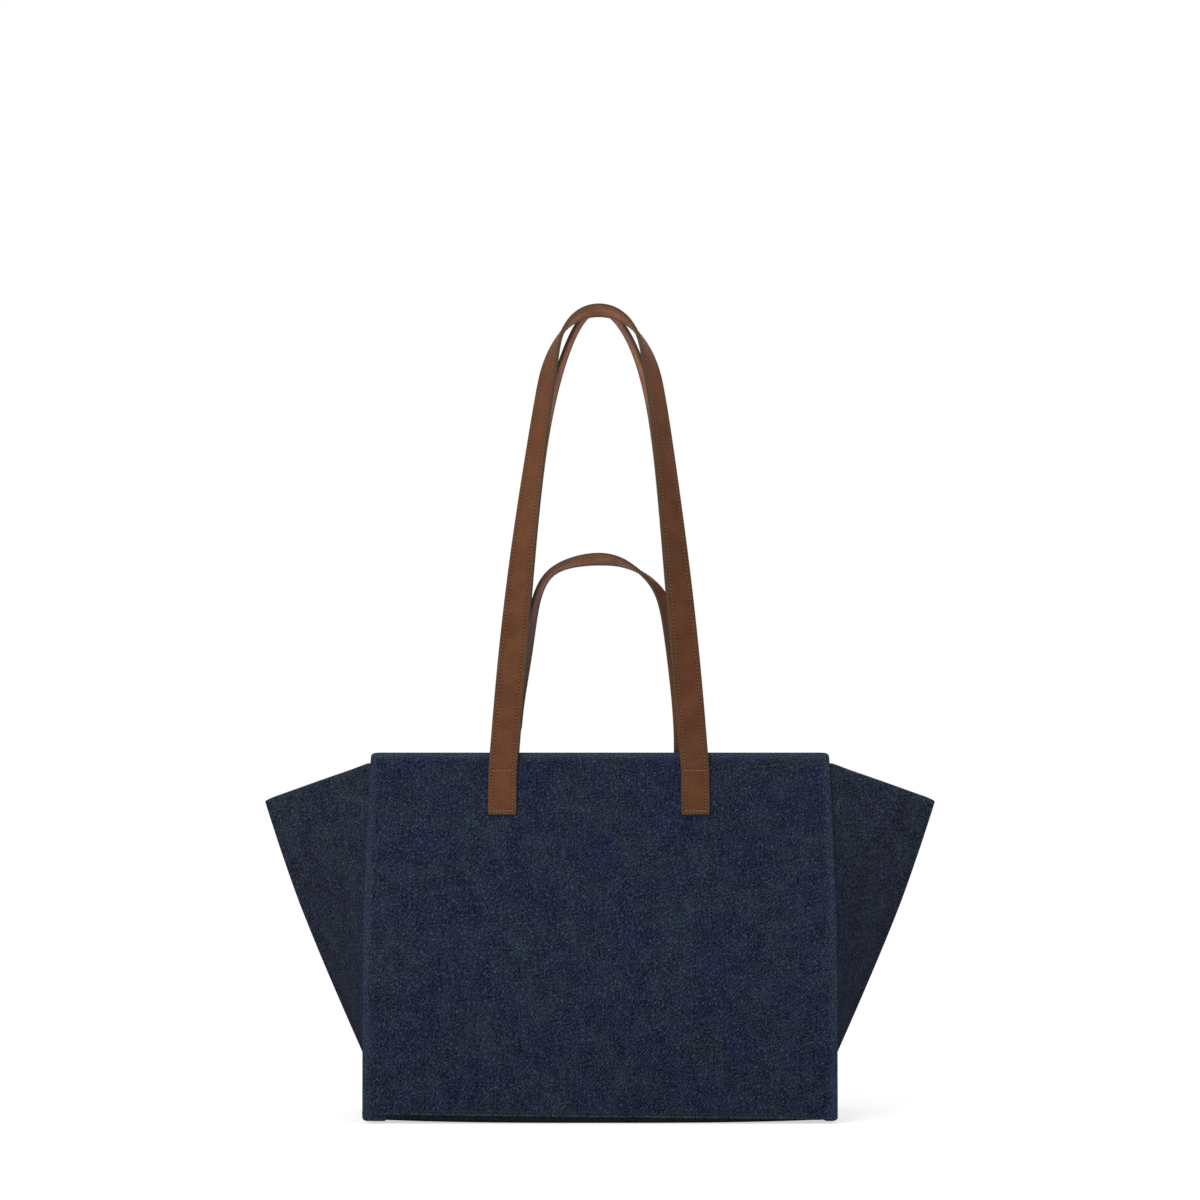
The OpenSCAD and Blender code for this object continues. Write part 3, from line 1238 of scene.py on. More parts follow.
class WeltTree(LineTree):
    """Geometry Nodes that run an uneven cord along closed lines."""

    RADIUS = "Radius"
    UNEVEN = "Unevenness"
    CLOTH = "Cloth"
    SPACING = 2 * MM
    SWELL_SCALE = 180.0
    SIDES = 10

    def __init__(self) -> None:
        """Builds the tree."""
        super().__init__(
            "run_welt",
            {
                self.RADIUS: "NodeSocketFloat",
                self.UNEVEN: "NodeSocketFloat",
                self.CLOTH: "NodeSocketMaterial",
            },
        )
        graph = Graph(self.tree)
        given = graph.node("NodeGroupInput")
        path = graph.node("GeometryNodeMeshToCurve", {0: given})
        spaced = graph.node(
            "GeometryNodeResampleCurve",
            {"Curve": path, "Length": self.SPACING},
            mode="LENGTH",
        )
        wander = graph.node(
            "ShaderNodeTexNoise",
            {
                "Vector": graph.node("GeometryNodeInputPosition"),
                "Scale": self.SWELL_SCALE,
                "Detail": 2.0,
            },
        )
        swell = 1 + (wander - 0.5) * given.other(self.UNEVEN)
        ring = graph.node(
            "GeometryNodeCurvePrimitiveCircle",
            {"Resolution": self.SIDES, "Radius": 1.0},
        )
        tube = graph.node(
            "GeometryNodeCurveToMesh",
            {0: spaced, 1: ring, "Scale": swell * given.other(self.RADIUS)},
        )
        self._end(graph, tube, given.other(self.CLOTH))

    def run(
        self,
        name: str,
        path: Array,
        radius: float,
        material: Material,
        unevenness: float = 0.9,
    ) -> Object:
        """Runs a welt round a closed path.

        Args:
            name: The piece's name.
            path: Points of the closed path.
            radius: Radius of the welt.
            material: Its finish.
            unevenness: How much the radius swells and shrinks, as a share.

        Returns:
            The welt as a plain mesh.
        """
        mesh = bpy.data.meshes.new(f"{name}_path")
        count = len(path)
        edges = [(k, (k + 1) % count) for k in range(count)]
        mesh.from_pydata(path.tolist(), edges, [])
        values = {self.RADIUS: radius, self.UNEVEN: unevenness, self.CLOTH: material}
        return self.follow(name, mesh, values)


# Shape of the bag

ROLL_UNDER = 0.6


@dataclass(frozen=True)
class BagShape:
    """The measures and curves that the pieces share, in metres."""

    half_width: float
    half_depth: float
    height: float
    half_top_width: float = 161.0 * MM
    half_mouth: float = 18.0 * MM
    full_width_height: float = 150.0 * MM
    upright_height: float = 35.0 * MM
    wall: float = 4.0 * MM
    wing_drop: float = 8.0 * MM
    tip_drop: float = 34.0 * MM
    stitch_drop: float = 12.4 * MM
    tip_flare: float = 4.0 * MM
    flare_power: int = 6
    seam_height: float = 5.1 * MM
    seam_slant: float = 1.7 * MM
    seam_rise: float = 0.3 * MM
    belly: float = 1.6 * MM
    belly_end: Span = (0.6, 0.82)
    ripple: float = 0.35 * MM
    ripple_size: float = 160 * MM
    ripple_left: float = 0.25

    @classmethod
    def from_frame(cls) -> BagShape:
        """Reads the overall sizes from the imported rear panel."""
        low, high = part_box("rear_panel")
        return cls(half_width=high.x, half_depth=high.y, height=high.z)

    @property
    def wing_seam_top(self) -> float:
        """Height at which the seam of a wing ends."""
        return self.height - self.wing_drop

    @property
    def wing_tip(self) -> float:
        """Height of the free corner of a wing."""
        return self.height - self.tip_drop

    @property
    def stitch_row(self) -> float:
        """Height of the stitch row from which the straps stand free."""
        return self.height - self.stitch_drop

    @property
    def narrowing(self) -> float:
        """How much nearer the side of a wall is to the middle at the top edge."""
        return self.half_width - self.half_top_width

    def lean(self, z: Array) -> Array:
        """How far a wall has leant inwards at a height, as a share of its whole lean."""
        share = (z - self.upright_height) / (self.height - self.upright_height)
        return np.maximum(share, 0) ** 2

    def face(self, z: Array) -> Array:
        """Distance of a wall's plain outer face from the middle plane."""
        return self.half_depth - (self.half_depth - self.half_mouth) * self.lean(z)

    def edge(self, z: Array) -> Array:
        """Half the width of a wall at a height."""
        share = (z - self.full_width_height) / (self.height - self.full_width_height)
        return self.half_width - self.narrowing * np.maximum(share, 0)

    def sagged(self, x: Array, z: Array, seed: int) -> Array:
        """The soft outer face, whose belly and ripples fade towards the straps.

        Args:
            x: Places from left to right.
            z: Heights.
            seed: Picks the ripples.

        Returns:
            Its distance from the middle plane.
        """
        low, high = self.belly_end
        calm = 1 - smooth(z, low * self.height, high * self.height)
        round_x = 1 - (x / self.half_width) ** 2
        round_z = np.sin(math.pi * np.clip(z / self.height, 0, 1))
        swell = self.belly * calm * round_x * round_z
        strength = self.ripple_left + (1 - self.ripple_left) * calm
        ripple = self.ripple * waves(x, z, seed, self.ripple_size) * strength * round_x
        return self.face(z) + swell + ripple

    def welt(self, x: Array, y: Array) -> Array:
        """The seam round the base, which droops to the right at the front.

        Args:
            x: Places from left to right.
            y: Numbers with the sign of the side.

        Returns:
            Its height.
        """
        share = x / self.half_width
        slant = self.seam_slant * share * np.sign(y)
        return self.seam_height + slant + self.seam_rise * share**2

    def fold_out(self, z: Array) -> Array:
        """How far the fold of a wing stands out from the wall's edge at a height.

        Args:
            z: The height.

        Returns:
            The distance.
        """
        flare = self.tip_flare * (z / self.wing_tip) ** self.flare_power
        reach = self.half_depth + flare
        return np.sqrt(np.maximum(reach**2 - self.face(z) ** 2, 0))


@dataclass(frozen=True)
class WallGrid:
    """Lays cloth on a wall between two heights, at a depth under its outer face."""

    shape: BagShape
    seed: int = 11
    top_stretch: float = 1.15
    side_wear: float = 0.65
    side_wear_width: float = 2.2 * MM
    top_wear: float = 1.4
    top_wear_width: float = 2.6 * MM
    crease_at: float = 2.4 * MM
    crease_width: float = 1.1 * MM

    def cloth(
        self,
        low: Array | float,
        high: float,
        inset: float,
        depth: float,
        columns: int,
        rows: int,
        crease: float = 0.0,
    ) -> Cloth:
        """The rear wall's cloth, seen from inside the wall.

        Args:
            low: Height of the lower edge, for each column or for all.
            high: Height of the upper edge.
            inset: Distance of the side edges from the wall's own.
            depth: Depth under the outer face.
            columns: Number of columns.
            rows: Number of rows.
            crease: Depth of the line that the stiffener's edge presses into the cloth.

        Returns:
            The grid.
        """
        shape = self.shape
        share_x = spread_out(columns)
        share_z = spread_out(rows) / 2 + 0.5
        lows = np.broadcast_to(low, (columns,))
        z = lows[None, :] + (high - lows[None, :]) * share_z[:, None]
        x = share_x[None, :] * (shape.edge(z) - inset)
        y = shape.sagged(x, z, self.seed)
        points = np.stack([x, y, z], -1)
        along = grid_lengths(points, 0) + lows[None, :]
        from_side = shape.edge(z) - inset - np.abs(x)
        from_top = (high - z) * self.top_stretch
        worn = np.maximum(
            self.side_wear * bump(from_side, self.side_wear_width),
            self.top_wear * bump(from_top, self.top_wear_width),
        )
        laid = Cloth(points, x, along, -1, worn)
        if crease:
            near = np.minimum(from_side, from_top)
            laid = laid.sunk(crease * bump(near - self.crease_at, self.crease_width))
        return laid.sunk(depth) if depth else laid


def spread_out(count: int) -> Array:
    """Places from -1 to 1, closer together near both ends."""
    even = np.linspace(-1, 1, count)
    return even * 0.55 + 0.45 * np.sin(even * math.pi / 2)


# Sub-assemblies


@dataclass
class SideWall:
    """A stiffened side: denim, felt, facing, lining and the thread of the facing."""

    shape: BagShape
    finishes: Finishes
    stitches: StitchTree
    side: Side
    slab: float = 3.0 * MM
    columns: int = 130
    rows: int = 96
    side_roll: float = 3.4 * MM
    top_roll: float = 2.6 * MM
    crease: float = 0.25 * MM
    over_welt: float = 0.7 * MM
    lobe_edge: float = 1.8 * MM
    lobe_widths: Span = (12.5 * MM, 5.0 * MM)
    lobe_ease: float = 3 * MM
    facing: float = 42.0 * MM
    facing_drop: float = 2.9 * MM
    facing_thickness: float = 1.0 * MM
    facing_play: float = 0.05 * MM
    facing_roll: float = 0.6 * MM
    facing_pitch: float = 3.2 * MM
    facing_rows: Span = (6 * MM, 1.5 * MM)
    facing_stitch: float = 2.6 * MM
    facing_thread: float = 0.5 * MM
    thread_reach: Span = (-152 * MM, 153 * MM)
    thread_lift: float = 0.15 * MM
    thread_inset: float = 9 * MM
    inner_inset: float = 5 * MM
    lining_low: float = 3 * MM
    lining_overlap: float = 4 * MM
    lining_play: float = 0.1 * MM
    lining_thickness: float = 0.8 * MM
    felt_low: float = 11.0 * MM
    felt_drop: float = 3 * MM
    felt_inset: float = 1 * MM
    felt_depth: float = 0.4 * MM
    felt_thickness: float = 0.75 * MM

    def build(self) -> list[Object]:
        """Makes the side's pieces and puts them on their body.

        Returns:
            The pieces.
        """
        made = [
            self._panel(), self._stiffener(), self._facing(), self._lining(),
            self._facing_thread(),
        ]
        for piece in made:
            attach(piece, self.side.body)
        return made

    def _place(self, cloth: Cloth) -> Cloth:
        """Puts cloth of the rear side on this one."""
        return cloth.mirrored(False, self.side is Side.FRONT)

    def _slab(
        self,
        cloth: Cloth,
        part: str,
        thickness: float,
        rims: Rims,
        material: Material,
    ) -> Object:
        """Makes a closed sheet on this side.

        Args:
            cloth: Its outer face on the rear side.
            part: The piece's name after the side's.
            thickness: Its thickness.
            rims: Its rolled edges.
            material: Its finish.

        Returns:
            The object.
        """
        maker = SlabMaker(self._place(cloth), thickness, rims)
        return maker.build(f"{self.side.word}_{part}", material)

    def _panel(self) -> Object:
        """The outer denim, turned over at its edges.

        Returns:
            The piece.
        """
        rims = Rims(self.side_roll, self.side_roll, self.top_roll, self.top_roll)
        piece = self._slab(
            self._panel_cloth(), "side_denim", self.slab, rims, self.finishes.panel
        )
        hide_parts(f"{self.side.word}_panel")
        return piece

    def _panel_cloth(self) -> Cloth:
        """The outer face inside its rolled edges, with lower lobes at both corners.

        Returns:
            The face of the rear side.
        """
        shape = self.shape
        x = spread_out(self.columns) * shape.half_width
        left, right = (shape.half_width - width for width in self.lobe_widths)
        lobe = np.where(
            x < 0,
            smooth(-x, left - self.lobe_ease, left),
            smooth(x, right - self.lobe_ease, right),
        )
        sides = np.full(self.columns, float(self.side.value))
        seam = shape.welt(x, sides) + self.over_welt
        low = seam + (self.lobe_edge - seam) * lobe + self.top_roll
        top = shape.height - ROLL_UNDER * self.top_roll
        return WallGrid(shape).cloth(
            low, top, self.side_roll, 0.0, self.columns, self.rows, self.crease
        )

    def _stiffener(self) -> Object:
        """The felt that keeps the side flat, wholly inside the denim.

        Returns:
            The piece.
        """
        top = self.shape.height - self.felt_drop
        inset = self.side_roll + self.felt_inset
        cloth = WallGrid(self.shape).cloth(
            self.felt_low, top, inset, self.felt_depth, columns=60, rows=40
        )
        piece = self._slab(
            cloth, "side_felt", self.felt_thickness, Rims(), self.finishes.felt
        )
        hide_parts(f"{self.side.word}_interlining")
        return piece

    def _facing(self) -> Object:
        """The band of denim inside the mouth.

        Returns:
            The piece.
        """
        top = self.shape.height - self.facing_drop
        depth = self.slab + self.facing_play
        cloth = WallGrid(self.shape).cloth(
            top - self.facing, top, self.inner_inset, depth, columns=90, rows=24
        )
        piece = self._slab(
            cloth, "mouth_facing", self.facing_thickness, Rims.even(self.facing_roll),
            self.finishes.panel,
        )
        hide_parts(f"{self.side.word}_facing")
        return piece

    def _lining(self) -> Object:
        """The lining below the facing.

        Returns:
            The piece.
        """
        top = self.shape.height - self.facing + self.lining_overlap
        depth = self.slab + self.lining_play
        cloth = WallGrid(self.shape).cloth(
            self.lining_low, top, self.inner_inset, depth, columns=80, rows=50
        )
        piece = self._slab(
            cloth, "side_lining", self.lining_thickness, Rims(), self.finishes.lining
        )
        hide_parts(f"{self.side.word}_lining")
        return piece

    def _facing_thread(self) -> Object:
        """Two stitch rows that hold the facing, seen inside the mouth.

        Returns:
            The piece.
        """
        from_top, from_low = self.facing_rows
        depth = self.slab + self.facing_thickness + self.thread_lift
        half = 1 * MM
        lines = []
        for drop in (from_top, self.facing - from_low):
            z = self.shape.height - self.facing_drop - drop
            grid = WallGrid(self.shape).cloth(
                z - half, z + half, self.thread_inset, depth, columns=90, rows=3
            )
            placed = self._place(grid)
            row, inwards = placed.points[1], -placed.normals()[1]
            x = np.arange(*self.thread_reach, self.facing_pitch)
            lines.append((picked(x, row[:, 0], row), picked(x, row[:, 0], inwards)))
        piece = self.stitches.lay(
            f"{self.side.word}_facing_thread", lines, self.finishes.box_thread,
            length=self.facing_stitch, width=self.facing_thread,
        )
        return piece


@dataclass
class HalfWing:
    """Half of a wing: denim turned in at its top edge, and the lining under it."""

    shape: BagShape
    finishes: Finishes
    hand: Hand
    side: Side
    rows: int = 104
    thickness: float = 1.2 * MM
    low_edge: float = 5.6 * MM
    turn_radius: float = 1.35 * MM
    turn_shrink: float = 0.5
    shrink_width: float = 5 * MM
    hem: float = 15 * MM
    hem_steps: int = 8
    fold_radius: float = 1.7 * MM
    fold_steps: int = 7
    flat_steps: int = 55
    tuck: float = 6.0 * MM
    tuck_depth: float = 3.05 * MM
    tuck_corner: float = 0.4 * MM
    tuck_steps: int = 9
    seam_play: float = 0.1 * MM
    seam_ease: float = 2.5 * MM
    wear: float = 0.7
    edge_wear_width: float = 1.6 * MM
    ripple: float = 0.5 * MM
    ripple_size: float = 0.11
    ripple_seed: int = 5
    seam_calm: Span = (10 * MM, 30 * MM)
    fold_calm: float = 22 * MM
    magnet_raise: float = 1.0 * MM
    magnet_radius: float = 9.0 * MM
    magnet_edge: float = 1.6 * MM
    magnet_slant: float = 0.55
    ring_width: float = 1.2 * MM
    lining_thickness: float = 0.8 * MM
    lining_depth: float = 2.75 * MM
    lining_bulge: float = 1.8 * MM
    bulge_radius: float = 11.5 * MM
    bulge_edge: float = 5 * MM
    hem_cover: float = 0.6
    trim_column: int = 20
    bend_tilt: float = 0.4
    bend_from_mm: float = 0.5
    bend_to_mm: float = 70

    def build(self) -> list[Object]:
        """Makes the denim and the lining.

        Returns:
            The pieces.
        """
        word = f"{self.hand.word}_wing_{self.side.word}"
        face = self._face()
        turned = self._with_hem(face)
        # The wing denim carries painted light.
        denim = SlabMaker(self._place(turned), self.thickness, Rims()).build(
            f"{word}_denim", self.finishes.wing
        )
        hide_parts(word)
        lining = self._lining(face, f"{word}_lining_cloth")
        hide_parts(f"{word}_lining")
        for piece in (denim, lining):
            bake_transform(piece)
        return [denim, lining]

    def _place(self, cloth: Cloth) -> Cloth:
        """Puts cloth of the rear right half on this one."""
        return cloth.mirrored(self.hand is Hand.LEFT, self.side is Side.FRONT)

    def _row(self, seam_z: float, fold_z: float) -> Array:
        """One row of the rear right half, from the tuck behind the wall to the fold.

        Args:
            seam_z: Height of the row at the seam with the wall.
            fold_z: Height of the row at the fold.

        Returns:
            The row's points.
        """
        shape, radius = self.shape, self.fold_radius
        edge, face = float(shape.edge(seam_z)), float(shape.face(seam_z))
        seam = np.array([edge, face - shape.wall - self.seam_play])
        reach = float(shape.edge(fold_z) + shape.fold_out(fold_z))
        fold = np.array([reach, 0.0])
        for _ in range(2):
            run = fold - seam
            sine = abs(run[1]) / np.hypot(*run)
            fold = np.array([reach + radius * (1 / sine - 1), 0.0])
        run = (fold - seam) / np.hypot(*(fold - seam))
        sine, cosine = -run[1], run[0]
        leaving = seam + run * self.seam_ease
        tangent = fold - run * radius * cosine / sine
        tuck = self._tuck(edge, face - self.tuck_depth, leaving)
        share = spread_out(self.flat_steps + 1)[1:, None] / 2 + 0.5
        flat = leaving + (tangent - leaving) * share
        centre = np.array([fold[0] - radius / sine, 0.0])
        quarter = math.pi / 2 - math.asin(min(sine, 1.0))
        angles = quarter * np.linspace(1, 0, self.fold_steps + 1)[1:]
        arc = centre + radius * np.stack([np.cos(angles), np.sin(angles)], -1)
        level = np.concatenate([tuck, flat, arc])
        steps = np.hypot(*np.diff(level, axis=0).T)
        lengths = np.concatenate([[0], np.cumsum(steps)])
        start = lengths[self.tuck_steps]
        done = np.clip((lengths - start) / (lengths[-1] - start), 0, 1)
        return np.column_stack([level, seam_z + (fold_z - seam_z) * done])

    def _tuck(self, edge: float, behind: float, leaving: Array) -> Array:
        """The part of a row that is tucked behind the wall, seen from above.

        Args:
            edge: Half the width of the wall.
            behind: How far from the middle plane the tucked cloth lies.
            leaving: Where the row comes free of the seam.

        Returns:
            Its points.
        """
        tucked = np.array([edge - self.tuck, behind])
        corner = np.array([edge - self.tuck_corner, behind])
        share = np.linspace(0, 1, self.tuck_steps)[:, None]
        bend = (
            (1 - share) ** 2 * (corner + tucked) / 2
            + 2 * share * (1 - share) * corner
            + share**2 * leaving
        )
        return np.concatenate([tucked[None], bend])

    def _face(self) -> Cloth:
        """The outer face from the lower edge to the top edge.

        Returns:
            The face of the rear right half.
        """
        shape = self.shape
        share = spread_out(self.rows) / 2 + 0.5
        under_roll = ROLL_UNDER * self.turn_radius
        seam_z = self.low_edge + (shape.wing_seam_top - self.low_edge) * share
        fold_z = self.low_edge + (shape.wing_tip - under_roll - self.low_edge) * share
        points = np.stack([self._row(s, f) for s, f in zip(seam_z, fold_z)])
        across, along = grid_lengths(points, 1), grid_lengths(points, 0)
        to_fold, to_top = across[:, -1:] - across, along[-1:] - along
        from_ring = self._magnet_distance(points) - self.magnet_radius
        worn = self.wear * bump(np.minimum(to_fold, to_top), self.edge_wear_width)
        worn = worn + self.wear * bump(from_ring, self.ring_width)
        cloth = Cloth(points, across, along, -1, worn, True)
        raised = self._over_magnet(points, self.magnet_radius, self.magnet_edge)
        calm = smooth(across, *self.seam_calm) * smooth(to_fold, 0, self.fold_calm)
        rippled = waves(across, along, self.ripple_seed, self.ripple_size)
        return cloth.sunk(-self.magnet_raise * raised - self.ripple * rippled * calm)

    def _magnet_distance(self, points: Array) -> Array:
        """How far points of the cloth lie from the magnet.

        Args:
            points: The points.

        Returns:
            Their distances, shortened where the cloth slants away.
        """
        low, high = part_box("right_rear_magnet")
        gap = points - np.array((low + high) / 2)
        return np.linalg.norm(gap * (1, self.magnet_slant, 1), axis=-1)

    def _over_magnet(self, points: Array, radius: float, edge: float) -> Array:
        """A round mask over the magnet.

        Args:
            points: Points of the cloth.
            radius: Radius within which the mask is one.
            edge: Width over which it fades.

        Returns:
            The mask at each point.
        """
        distance = self._magnet_distance(points)
        return 1 - smooth(distance, radius - edge / 2, radius + edge)

    def _with_hem(self, face: Cloth) -> Cloth:
        """Turns the top edge of the face over to the inside.

        Args:
            face: The face up to its top edge.

        Returns:
            The face with the turned edge and its hem.
        """
        normals = face.normals()
        _, up = face.tangents()
        top, out, climb = face.points[-1], normals[-1], up[-1]
        climb = unit(climb - out * np.sum(climb * out, -1, keepdims=True))
        from_fold = face.across[-1, -1] - face.across[-1]
        shrunk = 1 - self.turn_shrink * bump(from_fold, self.shrink_width)
        radius = (self.turn_radius * shrunk)[:, None]
        rolled = [
            top + out * radius * (math.cos(angle) - 1) + climb * radius * math.sin(angle)
            for angle in np.linspace(0, math.pi, self.hem_steps + 1)[1:]
        ]
        run = face.along[-1:] - face.along
        inside = face.points - normals * 2 * radius
        down = [k for k in range(self.rows - 2, -1, -1) if run[k].max() < self.hem]
        points = np.stack([*face.points, *rolled, *(inside[k] for k in down)])
        count = len(points) - len(face.points)
        across = np.concatenate([face.across, np.repeat(face.across[-1:], count, 0)])
        edge = np.full((self.hem_steps, points.shape[1]), self.wear)
        hidden = np.zeros((len(down), points.shape[1]))
        worn = np.concatenate([face.worn, edge, hidden])
        return Cloth(points, across, grid_lengths(points, 0), face.turn, worn, True)

    def _lining(self, face: Cloth, name: str) -> Object:
        """Makes the lining, which bulges over the magnet and ends under the hem.

        Args:
            face: The outer face of the denim.
            name: The piece's name.

        Returns:
            The piece.
        """
        raised = self._over_magnet(face.points, self.bulge_radius, self.bulge_edge)
        sunk = face.sunk(self.lining_depth + self.lining_bulge * raised)
        middle = face.along[:, self.trim_column]
        keep = middle < middle[-1] - self.hem_cover * self.hem
        inner = replace(
            sunk, points=sunk.points[keep], across=face.across[keep],
            along=face.along[keep], worn=None,
        )
        return SlabMaker(self._place(inner), self.lining_thickness, Rims()).build(
            name, self.finishes.lining
        )


@dataclass
class Base:
    """The underside with its rolled rim, the board, the lining and the seam's welt."""

    shape: BagShape
    finishes: Finishes
    welts: WeltTree
    columns: int = 70
    rows: int = 40
    thickness: float = 5.4 * MM
    roll: float = 2.4 * MM
    rim_inset: Span = (2.7 * MM, 2.8 * MM)
    end_rise: float = 2.8 * MM
    side_rise: float = 0.5 * MM
    board_height: float = 1.4 * MM
    board_inset: Span = (6.9 * MM, 6.9 * MM)
    board_thickness: float = 2.5 * MM
    welt_inset: Span = (0.6 * MM, 0.5 * MM)
    welt_corner: float = 5 * MM
    corner_points: int = 7
    welt_radius: float = 1.1 * MM
    welt_points: int = 400
    lining_height: float = 6.6 * MM
    lining_inset: Span = (4.2 * MM, 4.4 * MM)
    lining_ripple: float = 0.3 * MM
    lining_ripple_size: float = 0.12
    lining_seed: int = 3
    lining_thickness: float = 0.8 * MM
    lining_roll: float = 0.4 * MM

    def build(self) -> list[Object]:
        """Makes the base's pieces and puts them on their body.

        Returns:
            The pieces.
        """
        made = [self._underside(), self._board(), self._welt(), self._floor_lining()]
        for piece in made:
            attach(piece, "base")
        return made

    def _halves(self, inset: Span) -> Span:
        """Half the bag's width and half its depth, each less an inset."""
        inset_x, inset_y = inset
        return self.shape.half_width - inset_x, self.shape.half_depth - inset_y

    def _sheet(self, halves: Span, height: float, turn: int) -> Cloth:
        """Lays a level sheet over the base.

        Args:
            halves: Half its length along X and half along Y.
            height: Its height.
            turn: 1 where its face looks up, and -1 where it looks down.

        Returns:
            The sheet.
        """
        half_x, half_y = halves
        x = spread_out(self.columns)[None, :] * half_x
        y = spread_out(self.rows)[:, None] * half_y
        x, y = np.broadcast_arrays(x, y)
        z = np.full(x.shape, height)
        return Cloth(np.stack([x, y, z], -1), x, y, turn, np.zeros(x.shape))

    def _bent_sheet(self, halves: Span, height: float) -> Cloth:
        """Lays a sheet that looks down and lifts towards its edges.

        Args:
            halves: Half its length along X and half along Y.
            height: Height of its middle.

        Returns:
            The sheet.
        """
        sheet = self._sheet(halves, height, -1)
        x, y = sheet.points[..., 0], sheet.points[..., 1]
        ends = self.end_rise * np.abs(x / self.shape.half_width) ** 3
        sides = self.side_rise * np.abs(y / self.shape.half_depth) ** 4
        sheet.points[..., 2] += ends + sides
        return sheet

    def _underside(self) -> Object:
        """The cushion-like underside of denim round the board.

        Returns:
            The piece.
        """
        sheet = self._bent_sheet(self._halves(self.rim_inset), 0.0)
        # Its denim carries painted shade.
        piece = SlabMaker(sheet, self.thickness, Rims.even(self.roll)).build(
            "base_denim", self.finishes.rim
        )
        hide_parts("base_panel")
        return piece

    def _board(self) -> Object:
        """The fibre board inside the base denim.

        Returns:
            The piece.
        """
        sheet = self._bent_sheet(self._halves(self.board_inset), self.board_height)
        piece = SlabMaker(sheet, self.board_thickness, Rims()).build(
            "base_fibre_board", self.finishes.board
        )
        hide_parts("base_board")
        return piece

    def _ring(self, half_x: float, half_y: float) -> Array:
        """A closed level path with round corners and even steps.

        Args:
            half_x: Half its length along X.
            half_y: Half its length along Y.

        Returns:
            Its points, at no height.
        """
        radius, count = self.welt_corner, self.corner_points
        turns = np.linspace(0, math.pi / 2, count)
        corners = []
        for k, (sx, sy) in enumerate(((1, 1), (-1, 1), (-1, -1), (1, -1))):
            angle = turns + k * math.pi / 2
            x = sx * (half_x - radius) + radius * np.cos(angle)
            y = sy * (half_y - radius) + radius * np.sin(angle)
            corners.append(np.stack([x, y, np.zeros(count)], -1))
        path = np.concatenate(corners)
        lengths = np.linalg.norm(np.roll(path, -1, 0) - path, axis=1)
        run = np.concatenate([[0], np.cumsum(lengths)])
        even = np.linspace(0, run[-1], self.welt_points, endpoint=False)
        return picked(even, run, np.concatenate([path, path[:1]]))

    def _welt(self) -> Object:
        """The seam allowance that shows as a thin, lighter ridge round the base.

        Returns:
            The piece.
        """
        half_x, half_y = self._halves(self.welt_inset)
        path = self._ring(half_x, half_y)
        share_y = np.clip(path[:, 1] / half_y, -1, 1)
        rear = self.shape.welt(path[:, 0], np.ones(len(path)))
        front = self.shape.welt(path[:, 0], -np.ones(len(path)))
        path[:, 2] = rear * (1 + share_y) / 2 + front * (1 - share_y) / 2
        piece = self.welts.run(
            "base_seam_welt", path, self.welt_radius, self.finishes.welt
        )
        return piece

    def _floor_lining(self) -> Object:
        """The lining on the board, which meets the linings of the walls.

        Returns:
            The piece.
        """
        flat = self._sheet(self._halves(self.lining_inset), self.lining_height, 1)
        x, y = flat.points[..., 0], flat.points[..., 1]
        rippled = waves(x, y, self.lining_seed, self.lining_ripple_size)
        flat.points[..., 2] += self.lining_ripple * rippled
        maker = SlabMaker(flat, self.lining_thickness, Rims.even(self.lining_roll))
        piece = maker.build("base_lining_cloth", self.finishes.lining)
        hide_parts("base_lining")
        return piece


